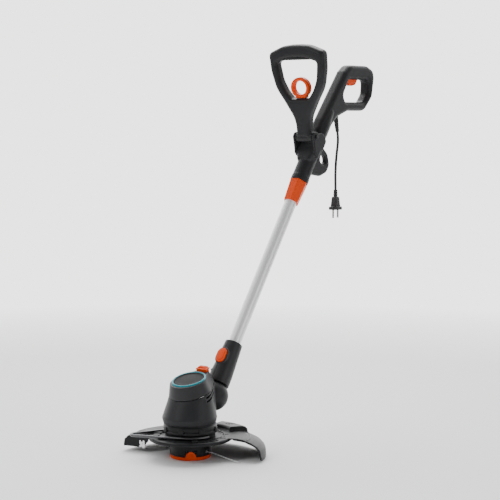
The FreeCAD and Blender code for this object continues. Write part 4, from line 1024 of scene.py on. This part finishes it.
@dataclass
class TubeAndSleeve:
    """The metal tube, the clamp collar and the lower sleeve."""

    finishes: Finishes
    button_station: float = 86.0
    button_half_width: float = 12.5
    button_half_length: float = 17.0

    def oval_button(self) -> Piece:
        """The long round button with its raised middle."""
        bench = Workbench

        def stadium(half_width: float, half_length: float) -> Outline:
            """A long round outline at the button's station."""
            straight = half_length - half_width
            return [(half_width * math.cos(angle), self.button_station + half_width * math.sin(angle)
                     + (straight if math.sin(angle) >= 0 else -straight))
                    for angle in (math.radians(7.5 * step + 3.75) for step in range(48))]

        wide, long = self.button_half_width - 0.3, self.button_half_length - 0.3
        parts = [bench.plate([stadium(wide, long)], 3.4, 1.2, Axis.Y, -23.3),
                 bench.plate([stadium(wide - 4.2, long - 4.2)], 1.6, 0.8, Axis.Y, -26.2)]
        piece = bench.joined(parts, "oval_button_face")
        return bench.placed(piece, SHAFT.matrix)

    def build(self) -> None:
        """Dress the tube and build the collar and the sleeve."""
        finishes = self.finishes
        dress_nodes(finishes.aluminium, "shaft_tube")
        dress_nodes(finishes.black, "tube_end_bush", "tube_foot_bush", "tilt_knuckle")
        dress_nodes(finishes.jacket, "shaft_lead")
        dress_nodes(finishes.steel, "swivel_screws", "swivel_spring")
        collar = Workbench.eased(["clamp_collar"], "clamp_collar_face", 0.7, 2)
        stand_for(collar, "collar", ("clamp_collar",), finishes.orange)
        for side in ("left", "right"):
            shell = Workbench.eased([f"swivel_shell_{side}"], f"sleeve_half_{side}", 0.9, 5)
            stand_for(shell, "lower_sleeve", (f"swivel_shell_{side}",),
                      finishes.graphite_plain)
        stand_for(self.oval_button(), "oval_button", ("swivel_button",),
                  finishes.orange)


# ---- motor head and guard

@dataclass
class MotorHead:
    """The motor housing with its cap, lid and buttons, and the motor inside."""

    finishes: Finishes
    lid_back: float = 4.0
    lid_height: float = 26.1

    def on_cap(self, profile: Sequence[Point2], name: str, angle: float) -> Piece:
        """A turned piece on the cap's sloping top.

        Args:
            profile: (radius, height) points round its section.
            name: the piece's name.
            angle: up to which edges are shaded smooth, in degrees.

        Returns:
            The piece.
        """
        piece = Workbench.joined([Workbench.spun(profile)], name)
        top = Matrix.Translation((0, self.lid_back, self.lid_height))
        return Workbench.placed(piece, CAP.matrix @ top, angle)

    def lid(self) -> Piece:
        """The pebbled lid, slightly crowned, with a rolled edge."""
        profile = [(0, 0), (32.9, 0), (32.9, 2.6), (32.2, 3.2), (30.4, 3.2), (29.8, 2.6),
                   (29.2, 2.3), (20, 2.9), (10, 3.2), (0, 3.3)]
        return self.on_cap(profile, "cap_lid_face", 35)

    def ring(self) -> Piece:
        """The coloured ring round the lid, rolled on top."""
        profile = [(33.1, 0), (36.6, 0), (36.6, 2.6), (36.2, 3.5), (35.4, 4.0), (34.3, 4.0),
                   (33.5, 3.5), (33.1, 2.6)]
        return self.on_cap(profile, "lid_ring_face", 50)

    def tilt_button(self) -> Piece:
        """The wedge behind the lid, with its raised thumb rest."""
        bench = Workbench
        parts = [bench.block((-12.8, 46.2, 21.5), (12.8, 57.8, 32), 1.0),
                 bench.block((-14.4, 45.2, 30.7), (14.4, 59.6, 34.0), 1.5),
                 bench.block((-11.0, 49.5, 32.5), (11.0, 59.0, 36.4), 1.8)]
        parts += [bench.block((-9, 50.5 + step * 2.6, 35.6), (9, 51.9 + step * 2.6, 37.0), 0.5)
                  for step in range(3)]
        piece = bench.melted(parts, "tilt_button_face", 0.5, 2)
        return bench.placed(piece, CAP.matrix, 50)

    def base_collar(self) -> Piece:
        """The stepped collar between the housing and the guard, with its clips."""
        section = [(45, 46.2), (52.6, 46.2), (53, 46.8), (53, 53.6), (53.6, 54.4), (56.2, 55.2),
                   (57.2, 56.6), (57.2, 60.2), (56.4, 61.2), (55.2, 61.8), (55.2, 64.2), (56.6, 65),
                   (56.8, 69.6), (56, 71), (54.6, 71.8), (54.2, 73.8), (45, 73.8)]
        parts = [Workbench.spun(section, 144)]
        parts += [Workbench.swung(Workbench.block((54, -6, 57.5), (59.0, 6, 69), 1.3), heading)
                  for heading in range(20, 380, 45)]
        piece = Workbench.joined(parts, "base_collar_face")
        return Workbench.placed(piece, GROUND)

    def build(self) -> None:
        """Build and dress the motor head."""
        finishes = self.finishes
        halves = ("motor_housing_left", "motor_housing_right")
        shell = Workbench.eased(halves, "motor_shell", 1.2, 14)
        stand_for(shell, "head", halves, finishes.graphite)
        cap = Workbench.eased(["motor_cap"], "motor_cap_shell", 1.0, 5)
        stand_for(cap, "head", ("motor_cap",), finishes.graphite_plain)
        stand_for(self.lid(), "head", ("cap_lid",), finishes.lid)
        stand_for(self.ring(), "head", ("lid_ring",), finishes.teal)
        stand_for(self.tilt_button(), "head_button", ("tilt_button",),
                  finishes.orange)
        stand_for(self.base_collar(), "head", ("base_collar",), finishes.guard)
        dress_nodes(finishes.steel, "tilt_pin", "motor_screws", "motor_bearings", "motor_can",
                    "guard_screws")
        dress_nodes(finishes.black, "bearing_plate", "terminal_block")


@dataclass
class Guard:
    """The guard with its ribs, its blade and the plant hoop."""

    finishes: Finishes
    top: float = 46.0
    plate: float = 3.0
    disc_radius: float = 88.0
    disc_rim: float = 8.0
    shoulder: float = 118.0
    reach: float = 160.0
    foot: float = 9.2
    skirt_top: float = 17.5
    flap_foot: float = 0.8
    flap_rounding: float = 13.0
    start: float = 16.0
    sweep: float = 178.5
    flap_sweep: float = 48.0
    flap_fading: float = 9.0
    deck_start: float = 63.0
    deck_sweep: float = 34.0

    def disc(self) -> Piece:
        """The round plate with its rolled rim."""
        low, radius, rim = self.top - self.plate, self.disc_radius, self.top - self.disc_rim
        section = [(42, low), (radius - 4.4, low), (radius - 3, low - 1.5), (radius - 3, rim + 1),
                   (radius - 2, rim), (radius - 0.6, rim + 0.4), (radius, rim + 1.5),
                   (radius, self.top - 3.4), (radius - 1.2, self.top - 1), (radius - 3.4, self.top),
                   (42, self.top)]
        return Workbench.spun(section, 144)

    def lower_edge(self, heading: float) -> float:
        """How low the shield reaches at a heading in degrees from +X."""
        run = math.radians(heading - self.start) * self.reach
        flap_end = self.start + self.flap_sweep
        if heading > flap_end:
            share = min(1.0, (heading - flap_end) / self.flap_fading)
            return self.flap_foot + (self.foot - self.flap_foot) * (3 - 2 * share) * share * share
        if run < self.flap_rounding:
            rise = math.sqrt(max(0.0, self.flap_rounding ** 2 - (self.flap_rounding - run) ** 2))
            return self.flap_foot + self.flap_rounding - rise
        return self.flap_foot

    def shield(self) -> Piece:
        """The arched shield behind the line, with its flap."""
        low, high, reach, skirt = self.top - self.plate, self.top, self.reach, self.skirt_top
        section = [(self.disc_radius - 4, low), (104, low + 0.6), (118, low - 0.6), (134, low - 6.2),
                   (148, low - 13.2), (155.0, low - 20.5), (reach - 3, low - 26), (reach - 3.2, skirt),
                   (reach - 3.2, self.foot + 1), (reach - 1.6, self.foot), (reach + 0.4, self.foot + 0.6),
                   (reach + 0.8, self.foot + 3), (reach, skirt), (reach, high - 28),
                   (reach - 1.8, high - 21.5), (151, high - 13.4), (136, high - 6), (119, high - 0.4),
                   (104, high + 0.7), (self.disc_radius - 4, high)]
        piece = Workbench.spun(section, 120, self.sweep, self.start)
        for vertex in piece.data.vertices:
            spot = vertex.co
            if spot.z < skirt - 0.1 and spot.xy.length > reach - 5:
                edge = self.lower_edge(math.degrees(math.atan2(spot.y, spot.x)) % 360.0)
                share = (spot.z - self.foot) / (skirt - self.foot)
                vertex.co.z = edge + (skirt - edge) * share
        return piece

    def deck(self) -> Piece:
        """The raised deck behind the motor."""
        high = self.top + 10
        section = [(self.disc_radius + 3, self.top - 2), (self.disc_radius + 3.4, high - 3),
                   (self.disc_radius + 6, high - 0.4), (self.disc_radius + 12, high), (124, high - 0.6),
                   (130, high - 3), (134, high - 8), (136, 38), (130, 33), (114, self.top - 3)]
        return Workbench.spun(section, 30, self.deck_sweep, self.deck_start)

    def side_wall(self) -> Piece:
        """The box wall at the shield's front right that carries the blade."""
        outline = [(self.disc_radius + 6, self.top - 1), (self.disc_radius + 13, 24),
                   (self.disc_radius + 25, self.foot + 0.6), (self.reach - 1, self.foot + 0.6),
                   (self.reach - 1, 26), (self.shoulder, self.top - 1)]
        wall = Workbench.plate([filleted(outline, 5)], 1.5, 0.5, Axis.Y)
        return Workbench.swung(wall, self.start + self.sweep - 0.7)

    def shell(self) -> Piece:
        """The guard's one moulding, with its slots and holes."""
        bench = Workbench
        parts = [self.disc(), self.shield(), self.deck(), self.side_wall()]
        piece = bench.melted(parts, "guard_shell", 1.3, 2)
        deck_middle = self.deck_start + self.deck_sweep / 2
        cutters = [bench.swung(bench.block((near, -7.5, 53), (near + 3.6, 7.5, 62), 1.2), deck_middle)
                   for near in range(103, 127, 8)]
        hole = bench.drum(3.1, 30, 60, Axis.Z, (78.0, 0.0))
        slot = bench.plate([filleted([(75, -9), (80, -9), (80, 9), (75, 9)], 2.4)], 12, SHARP, Axis.Z, 42)
        bench.carved(piece, cutters + [bench.swung(hole, -4.0), bench.swung(slot, -28.0)])
        return bench.placed(piece, GROUND, 40)

    def ribs(self) -> Piece:
        """Ribs under the shield, and low rings, spokes and lugs on its top."""
        bench = Workbench
        under = [(94, 43.6), (118, 43.0), (136, 37.0), (150, 29.5), (157.6, 20.0), (157.6, 17.0),
                 (146, 25), (118, 36.5), (94, 39.5)]
        parts = [bench.swung(bench.plate([under], 0.9, 0.3, Axis.Y),
                             self.start + 8 + (self.sweep - 24) * index / 8) for index in range(9)]
        parts += [bench.spun([(66, 45), (67.6, 45), (67.3, 46.9), (66.3, 46.9)], 96),
                  bench.spun([(71.5, 45), (73.3, 45), (73, 47.6), (71.9, 47.6)], 60, 150.0, 30.0),
                  bench.spun([(125, 41.5), (128, 40.5), (128.4, 43.2), (127, 44.2), (125.4, 43.8)], 96,
                             self.sweep - 6, self.start + 3)]
        parts += [bench.swung(bench.block((67, -0.9, 45), (82, 0.9, 46.7), 0.35), heading)
                  for heading in range(15, 375, 30)]
        parts += [bench.swung(bench.block((64, -6, 45), (reach, 6, 49.4), 1.4), heading)
                  for heading, reach in ((202, 90), (222, 78), (250, 76), (318, 78))]
        piece = bench.joined(parts, "guard_ribs")
        return bench.placed(piece, GROUND)

    def blade(self) -> Piece:
        """The steel blade that trims the line, with its notch and foot."""
        bench = Workbench
        outline = [(106, 13), (109.5, 8.4), (114, 8.4), (115.5, 12), (120, 9.5), (121.5, 12), (119.5, 16.5),
                   (121, 19), (121, 25), (117.6, 25.6), (117, 22), (113.4, 22), (112.8, 25.6), (109, 25),
                   (108.6, 17)]
        plate = bench.plate([filleted(outline, 1.2)], 0.6, 0.15, Axis.Y)
        screw = bench.drum(1.9, -1.6, 1.2, Axis.Y, (115.0, 17.5), 0.4, 24)
        piece = bench.swung(bench.joined([plate, screw], "trimming_blade"), self.start + self.sweep + 0.35)
        return bench.placed(piece, GROUND)

    def build(self) -> None:
        """Build and dress the guard and what is on it."""
        finishes = self.finishes
        stand_for(self.shell(), "head", ("guard",), finishes.guard)
        stand_for(self.ribs(), "head", (), finishes.guard)
        stand_for(self.blade(), "head", ("line_cutter",), finishes.blade)
        dress_nodes(finishes.hoop, "plant_hoop")


# ---- cutting head

@dataclass
class CuttingHead:
    """The turning drum, its cap, the spool and the line."""

    finishes: Finishes
    line_route: Tuple[Point3, ...] = ((38.0, 0.0, 17.0), (50.0, 0.4, 17.0), (64.0, 1.4, 15.6),
                                      (80.0, 3.4, 12.4), (96.0, 6.4, 8.2), (111.0, 10.2, 4.4),
                                      (125.0, 14.8, 1.6))
    line_radius: float = 0.8
    spool_radius: float = 43.0
    cap_rim: float = 7.0
    tab_top: float = 20.0
    tab_headings: Tuple[float, float] = (41.6, 221.6)

    def cap(self) -> Piece:
        """The orange cover with its knob and two arched snap tabs."""
        bench = Workbench
        radius, rim = self.spool_radius, self.cap_rim
        section = [(0, 0), (15, 0), (16.5, 1.0), (radius - 9, 1.0), (radius - 7.5, 0), (radius - 3.4, 0),
                   (radius - 1, 1), (radius, 3.2), (radius, rim - 0.5), (radius - 0.5, rim),
                   (radius - 3, rim), (radius - 3, 3), (0, 3)]
        parts = [bench.spun(section, 120)]
        for heading in self.tab_headings:
            tab = bench.spun([(radius - 2.6, 2), (radius, 2), (radius, self.tab_top),
                              (radius - 2.6, self.tab_top)], 30, 30.0, -15.0)
            corners = []
            for side in (-1, 1):
                outline = [(side * 12.6, 7.4), (side * 11.0, 11), (side * 7.6, 16), (side * 3.6, 18.8),
                           (0.0, 19.6), (0.0, 23), (side * 14, 23), (side * 14, 7.4)]
                corners.append(bench.plate([outline], 10, SHARP, Axis.X, radius))
            parts.append(bench.swung(bench.carved(tab, corners), heading - 90))
        piece = bench.joined(parts, "spool_cap_face")
        bench.apply(piece, "BEVEL", width=0.35, segments=2, limit_method="ANGLE",
                    angle_limit=math.radians(50))
        return bench.placed(piece, GROUND)

    def build(self) -> None:
        """Build and dress the cutting head."""
        finishes = self.finishes
        drum = Workbench.eased(["spool_housing"], "spool_drum", 0.9, 4)
        stand_for(drum, "cutting_head", ("spool_housing",), finishes.guard)
        stand_for(self.cap(), "cutting_head", ("spool_cap",), finishes.orange)
        dress_nodes(finishes.steel, "motor_shaft", "rotor_core", "spool_spring", "line_eyelet")
        dress_nodes(finishes.copper, "commutator")
        dress_nodes(finishes.black, "cooling_fan", "line_spool")
        dress_nodes(finishes.wound, "wound_line")
        line = flexible("cutting_line_strand", self.line_route, self.line_radius)
        stand_for(line, "cutting_head", ("cutting_line",), finishes.nylon)


def flexible(name: str, route: Sequence[Point3], radius: float,
             place: Optional[Callable[[Point3], Vector]] = None) -> Piece:
    """A smooth round strand.

    Args:
        name: the piece's name.
        route: the points that steer it, in millimetres.
        radius: its radius in millimetres.
        place: takes a route point to the tool's metres; plain scaling when left out.

    Returns:
        A curve object of one spline.
    """
    curve = bpy.data.curves.new(name, "CURVE")
    curve.dimensions = "3D"
    curve.bevel_depth = radius * MILLIMETRE
    curve.bevel_resolution = 6
    curve.use_fill_caps = True
    curve.resolution_u = 12
    spline = curve.splines.new("NURBS")
    spline.points.add(len(route) - 1)
    for point, value in zip(spline.points, route):
        spot = place(value) if place else Vector(value) * MILLIMETRE
        point.co = (*spot, 1.0)
    spline.order_u = 3
    spline.use_endpoint_u = True
    return Workbench.added(name, curve)


# ---- mains lead

@dataclass
class MainsLead:
    """The short mains lead and its plug."""

    finishes: Finishes
    radius: float = 3.1
    run: Tuple[Point3, ...] = ((0.0, 0.0, 0.0), (0.0, 2.7, -12.7), (0.6, 1.0, -30.0), (1.6, -5.0, -52.0),
                               (2.2, -9.4, -77.0), (1.4, -9.4, -101.0), (0.4, -7.6, -120.0),
                               (0.0, -6.6, -137.0))

    def start(self) -> Vector:
        """Where the lead leaves its strain relief."""
        return RELIEF.at((0.0, 0.0, -RELIEF_LENGTH))

    def plug(self) -> Piece:
        """The moulded plug with its ribbed neck."""
        bench = Workbench
        neck: Outline = [(0, 0), (4.3, 0)]
        for rib in range(3):
            low = -1.5 - rib * 4.4
            radius = 4.9 + rib * 0.35
            neck += [(radius, low), (radius, low - 2.4), (radius - 1.1, low - 2.9), (radius - 1.1, low - 4.0)]
        neck += [(5.4, -16), (5.4, -20), (0, -20)]
        body = bench.block((-8, -10.5, -40.5), (8, 10.5, -16), 3.0)
        for vertex in body.data.vertices:
            share = (vertex.co.z + 40.5) / 24.5
            vertex.co.x *= 1.0 - 0.16 * share
            vertex.co.y *= 1.08 - 0.36 * share
        outline = [(-13, -9), (-6.5, -17.6), (6.5, -17.6), (13, -9), (13, 9), (6.5, 17.6),
                   (-6.5, 17.6), (-13, 9)]
        flange = bench.plate([filleted(outline, 5)], 3.7, 1.2, Axis.Z, -43.3)
        grips = [bench.block((side * 7.4 - 0.8, -6, low), (side * 7.4 + 0.8, 6, low + 1.8), 0.4)
                 for side in (-1, 1) for low in range(-36, -20, 4)]
        piece = bench.melted([body, flange] + grips, "plug_moulding", 0.7, 3)
        piece = bench.joined([piece, bench.spun(neck, 40)], "plug_moulding")
        end = Matrix.Translation(self.start() + Vector(self.run[-1]) * MILLIMETRE)
        return bench.placed(piece, end @ GROUND, 40)

    def build(self) -> None:
        """Build and dress the lead and its plug."""
        finishes = self.finishes
        start = self.start()
        lead = flexible("mains_lead", self.run, self.radius,
                        lambda point: start + Vector(point) * MILLIMETRE)
        stand_for(lead, "upper_housing", ("supply_cord",), finishes.jacket)
        plug = stand_for(self.plug(), "upper_housing", ("plug_body",), finishes.jacket)
        dress_nodes(finishes.steel, "plug_pins")


# ---- studio

@dataclass
class Studio:
    """The pale floor, the soft lights and the camera."""

    azimuth: float = 38.0
    elevation: float = 5.0
    distance: float = 3.2
    lens: float = 108.65
    aside: float = 0.1264
    above: float = 0.4381
    floor_width: float = 14.0
    aim: Point3 = (0.0, 0.25, 0.4)
    lights: Tuple[Tuple[Point3, float, float], ...] = (
        ((-0.9, -2.2, 1.9), 1.1, 26.0),
        ((2.2, 0.2, 1.0), 0.8, 9.0),
        ((-0.9, 1.4, 2.4), 1.8, 52.0),
    )

    def camera(self) -> None:
        """Set the camera where the tool is looked at from its front left."""
        turn, lift = math.radians(self.azimuth), math.radians(self.elevation)
        back = Vector((math.sin(turn) * math.cos(lift), -math.cos(turn) * math.cos(lift), math.sin(lift)))
        right = Vector((math.cos(turn), math.sin(turn), 0.0))
        up = back.cross(right)
        data = bpy.data.cameras.new("camera")
        data.lens = self.lens
        data.sensor_width = 36.0
        data.clip_end = 50.0
        camera = bpy.data.objects.new("camera", data)
        bpy.context.scene.collection.objects.link(camera)
        place = Matrix((right, up, back)).transposed().to_4x4()
        place.translation = right * self.aside + up * self.above + back * self.distance
        camera.matrix_world = place
        bpy.context.scene.camera = camera

    def cyclorama(self) -> None:
        """A bright wall behind the tool and a dim room in front of it."""
        world = bpy.data.worlds.new("studio")
        world.use_nodes = True
        tree = world.node_tree
        turn = math.radians(self.azimuth)
        direction = tree.nodes.new("ShaderNodeTexCoord").outputs["Generated"]
        facing = tree.nodes.new("ShaderNodeVectorMath")
        facing.operation = "DOT_PRODUCT"
        facing.inputs[1].default_value = (-math.sin(turn), math.cos(turn), 0.35)
        tree.links.new(direction, facing.inputs[0])
        share = tree.nodes.new("ShaderNodeMapRange")
        share.interpolation_type = "SMOOTHSTEP"
        for name, value in (("From Min", 0.15), ("From Max", 0.85), ("To Min", 0.26), ("To Max", 3.0)):
            share.inputs[name].default_value = value
        tree.links.new(facing.outputs["Value"], share.inputs["Value"])
        tree.links.new(share.outputs["Result"], tree.nodes["Background"].inputs["Strength"])
        tree.nodes["Background"].inputs["Color"].default_value = (1.0, 1.0, 1.0, 1.0)
        bpy.context.scene.world = world

    def lamp(self, index: int, spot: Point3, size: float, power: float) -> None:
        """Add a large soft light that faces the tool's middle.

        Args:
            index: its number, for its name.
            spot: where it hangs, in metres.
            size: its width in metres.
            power: its power in watts.
        """
        data = bpy.data.lights.new(f"softbox_{index}", "AREA")
        data.size = size
        data.energy = power
        lamp = bpy.data.objects.new(f"softbox_{index}", data)
        bpy.context.scene.collection.objects.link(lamp)
        lamp.location = spot
        facing = Vector(self.aim) - Vector(spot)
        lamp.rotation_euler = facing.to_track_quat("-Z", "Y").to_euler()

    def floor(self) -> None:
        """A pale floor that fades into the wall behind it."""
        bpy.ops.object.select_all(action="DESELECT")
        bpy.ops.mesh.primitive_plane_add(size=self.floor_width, location=(0, 0, -0.0003),
                                         rotation=(0, 0, math.radians(self.azimuth)))
        floor = Workbench.settle(bpy.context.active_object, "floor")
        bench = ShaderBench("pale_floor")
        cloud = bench.grain(900.0, 2.0)
        colour = bench.tint(cloud, paint((0.91, 0.91, 0.91)), paint((0.94, 0.94, 0.94)))
        left, back = bench.along((1.0, 0.0, 0.0)), bench.along((0.0, 1.0, 0.0))
        fading = (1.4 - (left * left + back * back) * 0.2).clipped()
        dress(floor, bench.done({"Base Color": colour, "Roughness": 0.85, "Alpha": fading}))

    def build(self) -> None:
        """Build the studio."""
        self.cyclorama()
        self.camera()
        for index, (spot, size, power) in enumerate(self.lights):
            self.lamp(index, spot, size, power)
        self.floor()


def main() -> None:
    """Build every sub-assembly in order."""
    logging.basicConfig(level=logging.INFO, format="%(message)s")
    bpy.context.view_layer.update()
    finishes = Finishes()
    Studio().build()
    for assembly in (MainsLead(finishes), CuttingHead(finishes), UpperHousing(finishes),
                     LoopHandle(finishes), TubeAndSleeve(finishes), MotorHead(finishes), Guard(finishes)):
        assembly.build()


if __name__ == "__main__":
    main()
